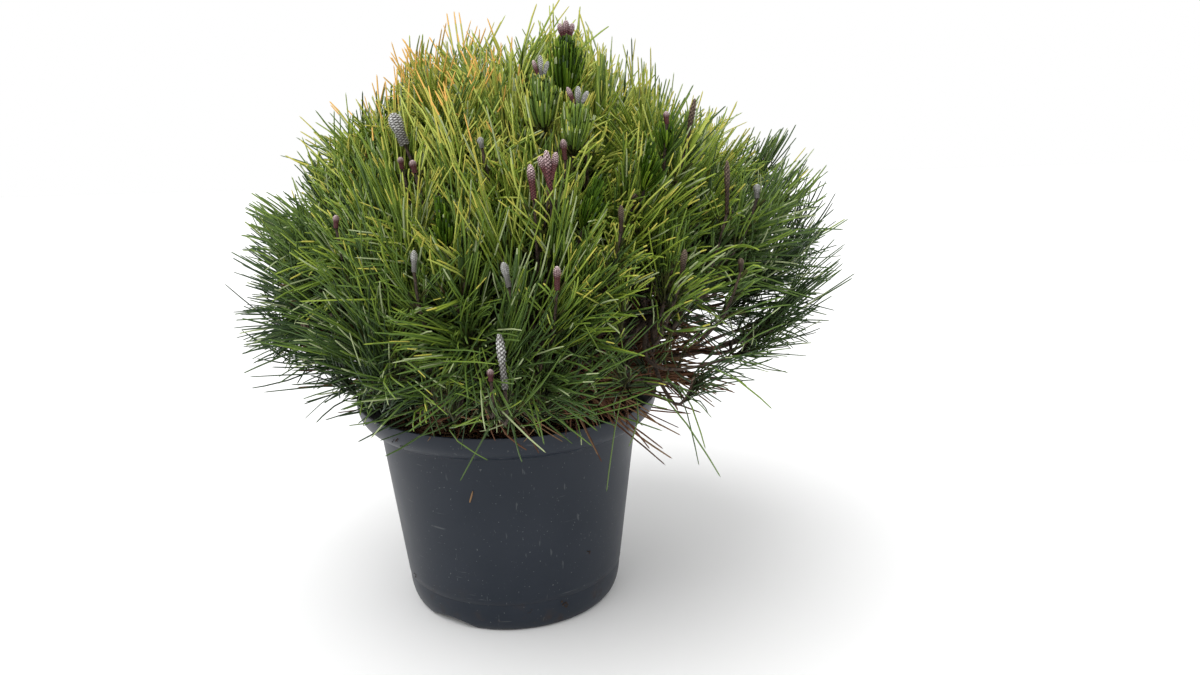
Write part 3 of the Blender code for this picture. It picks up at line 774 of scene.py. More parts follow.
bark_finish = bark()
limbs = [trunk_tube()] + [bough_tube(k) for k in range(BOUGH_COUNT)]
limb_faces = [skin_faces(TRUNK_ROWS, TRUNK_SIDES)] + [skin_faces(BOUGH_ROWS, BOUGH_SIDES)] * BOUGH_COUNT
limb_starts = np.concatenate([[0], np.cumsum([len(points) for points, _ in limbs])[:-1]])
bark_piece = new_piece(
    "bark",
    np.concatenate([points for points, _ in limbs]),
    np.concatenate([loops + start for (loops, _, _), start in zip(limb_faces, limb_starts)]),
    np.concatenate([sizes for _, sizes, _ in limb_faces]),
    [bark_finish],
    values={"crack": np.concatenate([crack for _, crack in limbs])},
)
bough_names = [f"bough_{k + 1:02d}" for k in range(BOUGH_COUNT)]
place(bark_piece, "bark", "trunk", *bough_names)

# %% [markdown]
# ## Sprays
#
# A spray is one twig with its needles. Round each mass's stem the sprays follow the golden
# angle, like the seeds of a sunflower: the first goes on from the stem's tip, and each
# later one starts lower and leans further out, until together they cover the mass's share
# of the dome. A few shorter sprays fill the inside, their needles painted darker as the
# crown's shade. All sprays are rows of one table, so that twigs, buds and needles are each
# made in one go.

# %% Table of sprays
OUTER_SPRAYS, INNER_SPRAYS = 24, 6
CELL_ANGLE = math.radians(25.0)
TIP_SHARE, INNER_SHARE = 0.75, 0.55
LOW_LEAN, HIGH_LEAN = math.radians(112.0), math.radians(50.0)
FRONT_RISE = 0.90
LOWEST_SINE = -0.42
TIP_CLEARANCE = 0.014
WIDE_SPREAD, CLOSE_SPREAD = math.radians(32.0), math.radians(7.0)
SAG = 0.22
RAY_WANDER, END_WANDER = 0.035, 0.16
BEND_REACH, BEND_SHARE = 0.64, 0.95
OPEN_CUT = 0.78


def growth(points):
    """Direction in which shoots grow at a point: up at the middle, leaning out towards the sides.

    The lean is the share of the crown's radius, times an angle that falls with height, less
    a part at the front, where the shoots of the real plant stand up again.
    """
    out = np.hypot(points[..., 0], points[..., 1])
    height = smooth_step(0.16, 0.39, points[..., 2])
    front = np.maximum(-points[..., 1], 0.0) / np.maximum(out, 0.001)
    rise = FRONT_RISE * front * smooth_step(0.16, 0.24, points[..., 2])
    lean = out / CROWN_RADII[1] * blend(LOW_LEAN, HIGH_LEAN, height) * (1.0 - rise)
    away = np.stack([points[..., 0], points[..., 1], np.zeros_like(out)], axis=-1)
    return UP * np.cos(lean)[..., None] + unit(away) * np.sin(lean)[..., None]


# A spray's tone is its share of painted sunlight, from 0 for painted shade up to 1. The first of these takes
# it from where the spray sits; the others deal the brown of withered needles and the green of young ones.
LIT_BY_PLACE, WITHERED, FRESH = -1.0, -2.0, -3.0
OUTER, INNER, CHOSEN = 0, 1, 2
PLAIN_SPRAY = dict(
    kind=OUTER, fascicles=21, long=0.088, bearing=0.078, wide=WIDE_SPREAD, close=CLOSE_SPREAD,
    sag=SAG, tone=LIT_BY_PLACE, bud=0.0024, curl=0.95, loose=1.0)
# Inner sprays: their needles are painted darker, as the shade inside the crown.
INSIDE_SPRAY = dict(kind=INNER, fascicles=16, long=0.068, bud=0.0)


def spray_table(root, middle, tip, mass, **changes):
    """A table with one row for each spray. What isn't told is as on a plain spray."""
    table = dict(root=root, middle=middle, tip=tip, mass=mass)
    for title, value in {**PLAIN_SPRAY, **changes}.items():
        table[title] = np.broadcast_to(np.asarray(value), (len(tip),)).copy()
    return table


def stacked(tables):
    """Tables with the same columns, one under the other."""
    return {title: np.concatenate([table[title] for table in tables]) for title in tables[0]}


def openness(points):
    """How open the crown is at a place, from 0 to 1: low on both sides the sky shows through."""
    x, y, z = points[:, 0], points[:, 1], points[:, 2]
    low = 0.90 * smooth_step(0.03, 0.09, x) * (1.0 - smooth_step(0.26, 0.32, z))
    edge = 0.30 * smooth_step(0.14, 0.22, x) * (1.0 - smooth_step(0.34, 0.44, z))
    left = 0.82 * smooth_step(0.10, 0.18, -x) * (1.0 - smooth_step(0.26, 0.35, z))
    return np.maximum(np.maximum(low, edge), left) * (1.0 - smooth_step(0.06, 0.16, y))


def mass_sprays(k, count, reach, **changes):
    """Sprays round the stem of mass k, whose tips lie on the dome shrunk to reach."""
    root, tip, heading = stems[k]
    rank = (np.arange(count) + 0.15) / count
    azimuth = chance.uniform(0.0, math.tau) + GOLDEN_ANGLE * np.arange(count)
    ray = turned_off(np.repeat(outwards[k][None], count, axis=0), azimuth, CELL_ANGLE * np.sqrt(rank))
    ray = unit(ray + chance.normal(0.0, RAY_WANDER, ray.shape))
    target = HUB + ray * crown_distance(HUB, ray)
    target = HUB + (target - HUB) / dome_share(target) * reach * chance.uniform(0.86, 1.06, (count, 1))
    start = blend(tip, root, (0.10 + 0.80 * np.sqrt(rank))[:, None])
    ends = unit(growth(target) + chance.normal(0.0, END_WANDER, ray.shape))
    length = np.linalg.norm(target - start, axis=-1, keepdims=True)
    middle = blend((start + target) / 2, target - ends * length * BEND_REACH, BEND_SHARE)
    keep = (ray[:, 2] > LOWEST_SINE) & (target[:, 2] > skirt(target) + TIP_CLEARANCE)
    keep &= clear_of_pot(target, 0.008) & clear_of_pot(middle, 0.006)
    keep &= chance.uniform(0.0, 1.0, count) > OPEN_CUT * openness(target)
    rows = spray_table(start, middle, target, np.full(count, k), **changes)
    return {title: column[keep] for title, column in rows.items()}


# %% [markdown]
# ### Shoots seen one by one
#
# Some shoots stand out in the photograph: three short-needled ones at the very top, a few
# bright young tufts, those that hang over the rim, and the candles, each with a shoot of
# its own below it. A hanging shoot is set where the lines of sight through its ends enter
# the dome. An upright one stands in an upright plane that faces the camera, at the depth
# where the line of sight through its foot enters the dome. A twig carries each of them
# from the nearest limb or stem.

# %% Chosen shoots
Shoot = namedtuple("Shoot", "foot tip share needles")
YOUNG = dict(
    wide=math.radians(44.0), close=math.radians(14.0), sag=0.0, tone=FRESH, kind=CHOSEN, bud=0.0,
    loose=0.35, curl=1.2)
TOP_LEADER = dict(
    YOUNG, fascicles=240, long=0.026, bearing=0.023, wide=math.radians(64.0), close=math.radians(28.0),
    curl=1.7)
# These side shoots at the top have a fixed tone of 0.50, halfway between painted shade and painted sunlight.
TOP_SIDE = dict(YOUNG, fascicles=110, long=0.030, bearing=0.018, tone=0.50)
TUFT = dict(YOUNG, fascicles=34, long=0.022, bearing=0.020)
# The low shoots, and the shoots on the right made from them, have a tone of 0.30: their needles are painted
# in shade.
LOW_SHOOT = dict(
    wide=math.radians(80.0), close=math.radians(35.0), sag=0.70, fascicles=26, long=0.080,
    bearing=0.060, tone=0.30, kind=CHOSEN, bud=0.0, loose=1.2, curl=0.5)
DEAD_SHOOT = dict(LOW_SHOOT, fascicles=9, long=0.044, tone=WITHERED)
CANDLE_SHOOT = dict(
    fascicles=12, long=0.050, bearing=0.060, kind=CHOSEN, bud=0.0, wide=math.radians(50.0),
    close=math.radians(24.0))
RIM = dict(
    LOW_SHOOT, fascicles=20, long=0.070, tone=LIT_BY_PLACE, kind=INNER, sag=0.45,
    wide=math.radians(70.0), close=math.radians(30.0))
RIGHT_SHOOT = dict(LOW_SHOOT, fascicles=11, long=0.056, sag=0.60)
DEAD_TUFT = dict(
    wide=math.radians(85.0), close=math.radians(45.0), sag=0.45, fascicles=12, long=0.050,
    bearing=0.030, tone=WITHERED, kind=INNER, bud=0.0, loose=1.8)
RIM_SPRAYS, DEAD_TUFTS = 70, 11
UPRIGHT_SHOOTS = [
    Shoot((568, 94), (566, 55), 0.83, TOP_LEADER),
    Shoot((548, 134), (541, 90), 0.86, TOP_SIDE),
    Shoot((577, 154), (577, 116), 0.87, TOP_SIDE),
    Shoot((652, 182), (648, 160), 0.86, TUFT),
    Shoot((670, 146), (667, 122), 0.88, TUFT),
    Shoot((590, 215), (594, 196), 0.86, TUFT),
    Shoot((445, 236), (440, 214), 0.86, TUFT),
]
LOW_SHOOTS = [
    Shoot((508, 382), (515, 400), 0.74, LOW_SHOOT),
    Shoot((470, 388), (425, 400), 0.70, LOW_SHOOT),
    Shoot((410, 380), (374, 386), 0.72, RIGHT_SHOOT),
    Shoot((548, 386), (580, 396), 0.68, LOW_SHOOT),
    Shoot((500, 405), (503, 418), 0.66, DEAD_SHOOT),
    Shoot((424, 408), (420, 418), 0.62, DEAD_SHOOT),
    Shoot((690, 376), (728, 358), 0.84, RIGHT_SHOOT),
    Shoot((648, 386), (676, 384), 0.74, RIGHT_SHOOT),
]
PURPLE, GREY, BROWN = "purple", "grey", "brown"
Candle = namedtuple("Candle", "foot tip radius colour share base", defaults=(0.88, None))
CANDLES = [
    Candle((551, 198), (546, 150), 0.0034, PURPLE, 0.87),
    Candle((549, 182), (539, 156), 0.0031, PURPLE, 0.87, (551, 198)),
    Candle((552, 180), (556, 152), 0.0030, PURPLE, 0.87, (551, 198)),
    Candle((534, 200), (530, 164), 0.0034, PURPLE, 0.87),
    Candle((565, 160), (563, 139), 0.0028, PURPLE, 0.87),
    Candle((405, 145), (392, 113), 0.0060, GREY),
    Candle((415, 173), (412, 160), 0.0032, PURPLE),
    Candle((402, 169), (400, 157), 0.0028, PURPLE),
    Candle((482, 148), (480, 137), 0.0028, GREY),
    Candle((566, 44), (566, 20), 0.0032, PURPLE, 0.83, (568, 90)),
    Candle((565, 44), (559, 23), 0.0028, PURPLE, 0.83, (568, 90)),
    Candle((568, 44), (573, 23), 0.0028, PURPLE, 0.83, (568, 90)),
    Candle((541, 80), (540, 55), 0.0023, GREY, 0.86, (548, 124)),
    Candle((540, 81), (533, 60), 0.0020, PURPLE, 0.86, (548, 124)),
    Candle((542, 81), (548, 61), 0.0020, GREY, 0.86, (548, 124)),
    Candle((577, 108), (578, 86), 0.0025, GREY, 0.87, (577, 146)),
    Candle((578, 109), (588, 91), 0.0022, GREY, 0.87, (577, 146)),
    Candle((576, 108), (567, 87), 0.0022, PURPLE, 0.87, (577, 146)),
    Candle((685, 153), (695, 98), 0.0026, BROWN),
    Candle((667, 124), (666, 111), 0.0027, PURPLE, 0.88, (670, 146)),
    Candle((727, 214), (727, 160), 0.0025, BROWN),
    Candle((757, 198), (757, 184), 0.0032, GREY, 0.90),
    Candle((509, 287), (503, 262), 0.0032, GREY),
    Candle((557, 290), (557, 266), 0.0032, PURPLE),
    Candle((681, 281), (685, 249), 0.0028, BROWN),
    Candle((505, 389), (499, 333), 0.0035, GREY, 0.87),
    Candle((491, 381), (490, 369), 0.0028, PURPLE),
    Candle((336, 228), (336, 215), 0.0028, PURPLE, 0.90),
    Candle((414, 272), (414, 250), 0.0028, GREY),
    Candle((621, 232), (621, 205), 0.0024, BROWN),
    Candle((741, 271), (741, 258), 0.0026, BROWN, 0.90),
]
candle_ends = np.array([
    upright(candle.base or candle.foot, candle.share, candle.foot, candle.tip) for candle in CANDLES])
candle_feet, candle_tips = candle_ends[:, 0], candle_ends[:, 1]
shoot_ends = np.array([
    upright(shoot.foot, shoot.share, shoot.foot, shoot.tip) for shoot in UPRIGHT_SHOOTS])
shoot_feet, shoot_tips = shoot_ends[:, 0], shoot_ends[:, 1]


CARRIERS = 16
bough_curves = [bough_ends(k)[:3] for k in range(BOUGH_COUNT)]
limb_points = [bezier(*curve, np.linspace(0.25, 1.0, CARRIERS)[:, None]) for curve in bough_curves]
trunk_points = trunk_axis(np.linspace(0.26, 0.39, CARRIERS))
stem_points = [blend(root, tip, np.linspace(0.05, 0.5, CARRIERS)[:, None]) for root, tip, _ in stems]
carrier_points = np.concatenate(limb_points + [trunk_points] + stem_points)
carrier_masses = np.tile(np.repeat(np.arange(MASS_COUNT), CARRIERS), 2)


def carried_sprays(foot, tip, **needles):
    """Sprays that leave the nearest place on a limb, pass below their foot and end at their tip."""
    gaps = np.linalg.norm(foot[:, None] - carrier_points[None], axis=-1)
    nearest = np.argmin(gaps, axis=1)
    middle = blend(foot + unit(foot - tip) * 0.055, HUB, 0.10)
    return spray_table(carrier_points[nearest], middle, tip, carrier_masses[nearest], **needles)


def rim_sprays():
    """Low shoots all round, whose long needles lie out over the rim of the pot."""
    turn = (np.arange(RIM_SPRAYS) + chance.uniform(-0.3, 0.3, RIM_SPRAYS)) / RIM_SPRAYS * math.tau
    out = chance.uniform(0.075, 0.135, (RIM_SPRAYS, 1))
    away = np.stack([np.cos(turn), np.sin(turn), np.zeros(RIM_SPRAYS)], axis=-1)
    height = 0.216 + 0.45 * (out - 0.080) + chance.uniform(0.0, 0.018, (RIM_SPRAYS, 1))
    tip = away * out + UP * height
    rows = carried_sprays(tip - away * 0.026 - UP * 0.014, tip, **RIM)
    tangle = (np.cos(turn + 0.35) > 0.55) & (np.sin(turn) < 0.1)
    rows["tone"] = np.where(tangle, WITHERED, rows["tone"])
    return rows


def dead_tufts():
    """Withered needles that cling along the inner boughs, thickest low on the right."""
    share = chance.uniform(0.25, 1.0, (BOUGH_COUNT, DEAD_TUFTS, 1))
    spots = np.concatenate([bezier(*curve, part) for curve, part in zip(bough_curves, share)])
    owner = np.repeat(np.arange(BOUGH_COUNT), DEAD_TUFTS)
    way = unit(chance.normal(0.0, 1.0, spots.shape) + UP * 0.2 + unit(spots * (1.0, 1.0, 0.0)) * 0.6)
    tip = spots + way * chance.uniform(0.020, 0.055, (len(spots), 1))
    right = smooth_step(0.0, 0.06, tip[:, 0]) * (1.0 - smooth_step(0.26, 0.32, tip[:, 2]))
    keep = some(len(spots), 0.30 + 0.7 * right)
    keep &= clear_of_pot(tip, 0.004)
    rows = spray_table(spots, (spots + tip) / 2 + UP * 0.004, tip, owner, **DEAD_TUFT)
    return {title: column[keep] for title, column in rows.items()}


sprays = stacked(
    [mass_sprays(k, OUTER_SPRAYS, TIP_SHARE) for k in range(MASS_COUNT)]
    + [mass_sprays(k, INNER_SPRAYS, INNER_SHARE, **INSIDE_SPRAY) for k in range(MASS_COUNT)]
    + [carried_sprays(*ends[:, None], **shoot.needles) for ends, shoot in zip(shoot_ends, UPRIGHT_SHOOTS)]
    + [carried_sprays(
        on_crown(*shoot.foot, shoot.share)[None], on_crown(*shoot.tip, shoot.share)[None], **shoot.needles)
       for shoot in LOW_SHOOTS]
    + [carried_sprays(candle_feet - unit(candle_tips - candle_feet) * 0.03, candle_feet, **CANDLE_SHOOT)]
    + [rim_sprays(), dead_tufts()])
print("sprays:", len(sprays["tip"]))

# %% [markdown]
# ## Needles
#
# Mugo needles come in pairs from one sheath. They stand off the shoot at a wide angle low
# down and close in towards its tip, bend a little forward, and sag with their own weight
# where they lie flat. A needle here has three sides and a tapering point. Its faces are
# dealt to plain colours, one each for its foot, its body, its upper part and its tip.

# %% Grow needles on sprays
NEEDLE_STOPS = np.array([0.0, 0.34, 0.64, 0.88, 0.985])
NEEDLE_SWELL = np.array([0.75, 1.0, 0.97, 0.88, 0.62])
NEEDLE_RADIUS = 0.00098
PAIR_ANGLE = math.radians(5.5)
BEARING_PART = 0.36
SPRAY_WANDER, NEEDLE_WANDER = 0.44, 0.21
LOW_LOOSE, SIDE_THIN = 0.8, 0.26


def grow_needles(table):
    """Root, heading, bend, length and spray number of both needles of every fascicle."""
    owner = np.repeat(np.arange(len(table["tip"])), table["fascicles"])
    firsts = np.concatenate([[0], np.cumsum(table["fascicles"])[:-1]])
    rank = np.arange(len(owner)) - firsts[owner]
    share = (rank + chance.uniform(0.1, 0.9, len(owner))) / table["fascicles"][owner]
    root, middle, tip = (table[title][owner] for title in ("root", "middle", "tip"))
    length = np.linalg.norm(tip - root, axis=-1)
    t = 1.0 - np.minimum(table["bearing"][owner] / length, BEARING_PART) * (1.0 - share)
    t = t[:, None]
    base = bezier(root, middle, tip, t)
    along = unit((middle - root) * (1 - t) + (tip - middle) * t)
    azimuth = chance.uniform(0.0, math.tau, len(firsts))[owner] + GOLDEN_ANGLE * rank
    spread = blend(table["wide"][owner], table["close"][owner], share**1.3)
    spread = spread * (1.0 + table["loose"][owner] * chance.uniform(-0.65, 0.50, len(owner)))
    wander = chance.normal(0.0, SPRAY_WANDER, (len(firsts), 3))[owner]
    wander = wander + chance.normal(0.0, NEEDLE_WANDER, (len(owner), 3))
    low = 1.0 - smooth_step(0.24, 0.40, table["tip"][:, 2])
    wander = wander * (table["loose"] * (1.0 + LOW_LOOSE * low))[owner, None]
    heading = turned_off(along, azimuth, spread)
    size = table["long"][owner] * (1.0 - 0.20 * share**2.0) * chance.uniform(0.72, 1.05, len(owner))
    twist = unit(np.cross(heading, chance.normal(0.0, 1.0, heading.shape)))
    pair = chance.uniform(0.5, 1.5, (len(owner), 1)) * PAIR_ANGLE
    heading = np.concatenate([unit(heading + twist * pair), unit(heading - twist * pair)])
    base, along, owner = np.tile(base, (2, 1)), np.tile(along, (2, 1)), np.tile(owner, 2)
    size = np.tile(size, 2) * chance.uniform(0.95, 1.03, len(owner))
    level = np.sqrt(np.maximum(1.0 - heading[:, 2:3] ** 2, 0.0))
    droop = table["sag"][owner, None] * chance.uniform(0.0, 1.8, (len(owner), 1))
    curl = table["curl"][owner][:, None]
    bend = (along - heading * dot(along, heading)) * curl - UP * droop * level + np.tile(wander, (2, 1))
    side = smooth_step(0.12, 0.22, np.hypot(table["tip"][:, 0], table["tip"][:, 1])) * low
    girth = NEEDLE_RADIUS * chance.uniform(0.72, 1.05, len(owner)) * (1.0 - SIDE_THIN * side[owner])
    return dict(base=base, heading=heading, bend=bend, size=size, girth=girth, owner=owner)


def needle_at(needles, t):
    """Point base + size (t heading + t^2 / 2 bend) of every needle."""
    way = needles["heading"] * t + needles["bend"] * (0.5 * t * t)
    return needles["base"] + way * needles["size"][:, None]


def chosen(needles, keep):
    """Only the needles for which keep is true."""
    return {title: column[keep] for title, column in needles.items()}


# %% [markdown]
# ### Fitting the needles
#
# Needles that pass the dome are shortened, so that its surface stays ragged but close.
# Those that would lie below the crown, in the pot or the peat, or between the camera and
# a candle or a young shoot, are left out.

# %% Fit the needles to the crown
CANDLE_ROOM, SHOOT_ROOM, YOUNG_ROOM = 0.0070, 0.0095, 0.6
DOME_LIMIT, DOME_DEPTH, CHOSEN_PAST, TIP_PAST = 1.04, 0.22, 0.08, 0.02
HANG_DEPTH, HANG_SHARE = 0.045, 0.15


def in_front_of(points, spots, room):
    """True where points lie within a room's radius of the line from a spot to the camera."""
    inside = np.zeros(len(points), bool)
    for spot in spots:
        towards = unit(CAMERA_PLACE - spot)
        offset = points - spot
        ahead = offset @ towards
        aside = np.linalg.norm(offset - ahead[:, None] * towards, axis=1)
        inside |= (ahead > -room) & (aside < room)
    return inside


def clear_of_candles(points, young):
    """True where points hide no candle and, unless they are on young needles, no young shoot."""
    room = np.where(young, CANDLE_ROOM * YOUNG_ROOM, CANDLE_ROOM)
    hidden = in_front_of(points, blend(candle_feet, candle_tips, 0.7), room)
    for share in (0.5, 1.0):
        hidden |= in_front_of(points, blend(shoot_feet, shoot_tips, share), SHOOT_ROOM) & ~young
    return ~hidden


def fit_to_crown(needles, dome):
    """Shorten needles that pass the dome, then drop those below the crown or in the pot."""
    limit = dome - DOME_DEPTH * chance.uniform(0.0, 1.0, len(needles["size"])) ** 0.8
    limit = np.where(sprays["kind"][needles["owner"]] == CHOSEN, dome + CHOSEN_PAST, limit)
    for _ in range(3):
        inner, outer = dome_share(needles["base"])[:, 0], dome_share(needle_at(needles, 1.0))[:, 0]
        cut = np.clip((limit - inner) / np.maximum(outer - inner, 0.01), 0.86, 1.0)
        needles["size"] = np.where(outer > limit, needles["size"] * cut, needles["size"])
    tips = needle_at(needles, 1.0)
    drooping = sprays["sag"][needles["owner"]] > SAG
    hanging = (tips[:, 2] > POT_HEIGHT - HANG_DEPTH) & some(len(tips), HANG_SHARE)
    over_rim = (tips[:, 2] > POT_HEIGHT - 0.008) & (np.hypot(tips[:, 0], tips[:, 1]) < LIP_RADIUS + 0.012)
    hanging = drooping & (hanging | over_rim)
    stray = chance.exponential(0.013, len(tips)) - 0.010
    keep = hanging | (tips[:, 2] > skirt(tips) - stray)
    keep &= dome_share(tips)[:, 0] < dome + TIP_PAST
    young = sprays["sag"][needles["owner"]] == 0.0
    for t in (0.25, 0.45, 0.65, 0.85, 1.0):
        points = needle_at(needles, t)
        keep &= clear_of_pot(points, 0.0014) & clear_of_candles(points, young)
    return chosen(needles, keep)


green = fit_to_crown(grow_needles(sprays), DOME_LIMIT)
print("needles:", len(green["size"]))

# %% [markdown]
# ### Colours by place, with painted light and shade
#
# Much of the crown's light and shade is painted into its needles. The top, painted as
# sunlit, has paler yellow-green needles with yellow and orange tips. The middle is olive and
# mid green, and the low sides are painted in shade, a dark bluish green with no yellow at all.
# The zones are a rule on where a spray sits, and each needle strays a little from its spray.

# %% Needle colours
# Body colours, from the dark bluish green of painted shade to the pale yellow-green of painted sunlight and
# highlight.
BODY_COLOURS = [
    (0.036, 0.066, 0.024), (0.060, 0.106, 0.028), (0.100, 0.167, 0.032),
    (0.158, 0.240, 0.034), (0.255, 0.340, 0.044), (0.460, 0.520, 0.105)]
FOOT_COLOURS = [(0.030, 0.037, 0.012), (0.075, 0.082, 0.020)]
# The first tip colour, a pale grey-green, is partly the needles' own pale tips and partly a painted
# highlight.
TIP_COLOURS = [(0.35, 0.41, 0.21), (0.50, 0.47, 0.085), (0.78, 0.46, 0.11)]
DEAD_COLOURS = [(0.130, 0.058, 0.028), (0.080, 0.034, 0.018), (0.22, 0.13, 0.065)]
FRESH_COLOURS = [(0.034, 0.074, 0.005), (0.072, 0.140, 0.010), (0.165, 0.260, 0.022)]
FOOT = len(BODY_COLOURS)
TIP = FOOT + len(FOOT_COLOURS)
DEAD = TIP + len(TIP_COLOURS)
LUSH = DEAD + len(DEAD_COLOURS)
PALE_TIP_AND_HIGHLIGHT, YELLOW_TIP, ORANGE_TIP = TIP, TIP + 1, TIP + 2
# SPRAY_SHADE spreads the tones of the sprays at random; INNER_SHADE is painted shade, taken off the light of
# the inner sprays.
SPRAY_SHADE, INNER_SHADE, INNER_DEAD = 0.13, 0.36, 0.12
PALE_HIGHLIGHT_SHARE, YELLOW_SHARE, ORANGE_SHARE = 0.14, 0.46, 0.85


def needle_finish(name, colour, roughness, gloss):
    """A plain satin colour, as a needle has no pattern of its own."""
    finish = Finish(name, colour, roughness)
    finish.shader.inputs["Specular IOR Level"].default_value = gloss
    return finish.material


NEEDLE_KINDS = [
    ("green", BODY_COLOURS, 0.34, 0.24), ("foot", FOOT_COLOURS, 0.55, 0.24),
    ("tip", TIP_COLOURS, 0.50, 0.24), ("dead", DEAD_COLOURS, 0.70, 0.24),
    ("fresh", FRESH_COLOURS, 0.55, 0.12)]
needle_finishes = [
    needle_finish(f"needle_{kind}_{i + 1}", colour, roughness, gloss)
    for kind, shades, roughness, gloss in NEEDLE_KINDS for i, colour in enumerate(shades)]


def painted_sun_share(points):
    """Painted sunlight at a place: 0 on the low, shaded sides and 1 on the top of the crown."""
    x, y, z = points[:, 0], points[:, 1], points[:, 2]
    height = smooth_step(0.21, 0.50, z)
    right_low = smooth_step(0.08, 0.20, x) * (1.0 - smooth_step(0.28, 0.40, z))
    left_low = smooth_step(0.04, 0.16, -x) * (1.0 - smooth_step(0.24, 0.36, z))
    front = smooth_step(0.02, 0.18, -y)
    return np.clip(0.14 + 0.66 * height + 0.14 * front - 0.38 * right_low - 0.24 * left_low, 0.0, 1.0)


def deal_colours(needles, table):
    """Colour numbers of every needle's foot, body, upper part and tip, from its spray's place and the light
    and shade painted there.
    """
    owner, count = needles["owner"], len(needles["owner"])
    kind, tone = table["kind"][owner], table["tone"][owner]
    spray_painted_sun = painted_sun_share(table["tip"]) + chance.normal(0.0, SPRAY_SHADE, len(table["tip"]))
    spray_painted_sun = np.where(table["tone"] == LIT_BY_PLACE, spray_painted_sun, table["tone"])
    # Each needle's painted sunlight; the inner sprays are painted in shade.
    sun = np.clip(spray_painted_sun[owner] - INNER_SHADE * (kind == INNER), 0.0, 1.0)
    body = np.clip(np.round(4.8 * sun + chance.normal(0.0, 0.25 + 0.6 * sun)), 0, 5).astype(int)
    # The foot is the sheath's own dark colour, dealt darker still in painted shade.
    foot = FOOT + some(count, sun).astype(int)
    ends = needle_at(needles, 1.0)
    yellow = some(count, YELLOW_SHARE * smooth_step(0.40, 0.80, sun))
    top_left = smooth_step(0.44, 0.49, ends[:, 2]) * (1.0 - smooth_step(0.00, 0.04, ends[:, 0]))
    top_left *= 0.08 + 0.92 * smooth_step(0.90, 1.0, dome_share(ends)[:, 0])
    orange = some(count, ORANGE_SHARE * top_left) & (kind != CHOSEN)
    # Pale upper parts and tips: partly the needles' own pale tips, partly a painted highlight of sheen.
    pale = some(count, PALE_HIGHLIGHT_SHARE)
    # The upper part is a step paler in painted sunlight.
    upper = np.minimum(body + some(count, 0.9 * sun**1.5), 5)
    upper = np.where(pale & some(count, 0.5), PALE_TIP_AND_HIGHLIGHT, upper)
    upper = np.where(orange & some(count, 0.5), YELLOW_TIP, upper)
    tip = np.where(orange, ORANGE_TIP, np.where(yellow, YELLOW_TIP, np.where(pale, PALE_TIP_AND_HIGHLIGHT, upper)))
    lush = LUSH + chance.choice(3, count, p=(0.35, 0.40, 0.25))
    foot, body, upper = (np.where(tone == FRESH, lush, part) for part in (foot, body, upper))
    tip = np.where((tone == FRESH) & some(count, 0.8), lush, tip)
    dead = (tone == WITHERED) | ((kind == INNER) & some(count, INNER_DEAD))
    brown = DEAD + chance.integers(0, len(DEAD_COLOURS), count)
    return [np.where(dead, brown, part) for part in (foot, body, upper, tip)]


def needle_piece(name, needles, foot, body, upper, tip):
    """Three-sided needles as one mesh: rings at the stops, a flat foot and a point."""
    axis = np.stack([needle_at(needles, t) for t in NEEDLE_STOPS], axis=1)
    along = np.stack([unit(needles["heading"] + needles["bend"] * t) for t in NEEDLE_STOPS], axis=1)
    girth = (NEEDLE_SWELL * needles["girth"][:, None])[:, :, None]
    rings = ring_corners(axis, np.repeat(girth, 3, axis=2), along)
    corners = np.concatenate([rings.reshape(len(axis), -1, 3), needle_at(needles, 1.0)[:, None]], axis=1)
    loops, sizes, row = skin_faces(len(NEEDLE_STOPS), 3, start_point=False)
    parts = np.stack([foot, body, upper, tip, tip], axis=1)
    loops, sizes = repeat_faces(loops, sizes, corners.shape[1], len(axis))
    return new_piece(name, corners.reshape(-1, 3), loops, sizes, needle_finishes, parts[:, row].ravel())


def mass_names(first, last):
    """Names of the frame's masses from first to last, counted from one."""
    return [f"mass_{k:02d}" for k in range(first, last + 1)]


# %% Needle pieces
MASSES_A_PIECE = 4
colours = deal_colours(green, sprays)
for first in range(0, MASS_COUNT, MASSES_A_PIECE):
    last = first + MASSES_A_PIECE
    mass = sprays["mass"][green["owner"]]
    here = (mass >= first) & (mass < last)
    name = f"needles_{first + 1:02d}_{last:02d}"
    piece = needle_piece(name, chosen(green, here), *(part[here] for part in colours))
    place(piece, "needles", *mass_names(first + 1, last))

# %% [markdown]
# ## Twigs
#
# Every spray's needles stand on a real twig, rough with the pegs of older needles. All
# twigs are rings along their curves, worked out together, and closed at both ends.

# %% Twigs
TWIG_ROWS, TWIG_SIDES = 9, 7


def tube_piece(name, axis, radii, sides, finishes, roughness=0.08):
    """Many closed tubes with the same number of rows as one mesh, a little uneven."""
    count, rows = axis.shape[:2]
    along = unit(np.gradient(axis, axis=1))
    girth = radii[:, :, None] * (1.0 + chance.normal(0.0, roughness, (count, rows, sides)))
    rings = ring_corners(axis, girth, along)
    corners = np.concatenate([rings.reshape(count, -1, 3), axis[:, :1], axis[:, -1:]], axis=1)
    loops, sizes, _ = skin_faces(rows, sides)
    loops, sizes = repeat_faces(loops, sizes, corners.shape[1], count)
    return new_piece(name, corners.reshape(-1, 3), loops, sizes, finishes)


def twig_axes(table):
    """Axis points of every spray's twig, from its root to its tip."""
    t = np.linspace(0.0, 1.0, TWIG_ROWS)[None, :, None]
    return bezier(table["root"][:, None], table["middle"][:, None], table["tip"][:, None], t)


def twig_bark():
    """Young bark: warm brown, with paler pegs."""
    finish = Finish("twig bark", (0.13, 0.085, 0.050), 0.8)
    pegs = finish.noise(420.0, 3.0).over(0.35, 0.65)
    colour = finish.mix(pegs, (0.018, 0.011, 0.008), (0.075, 0.047, 0.029))
    return finish.paint(Base_Color=colour, Normal=finish.bump(pegs, 0.0006))


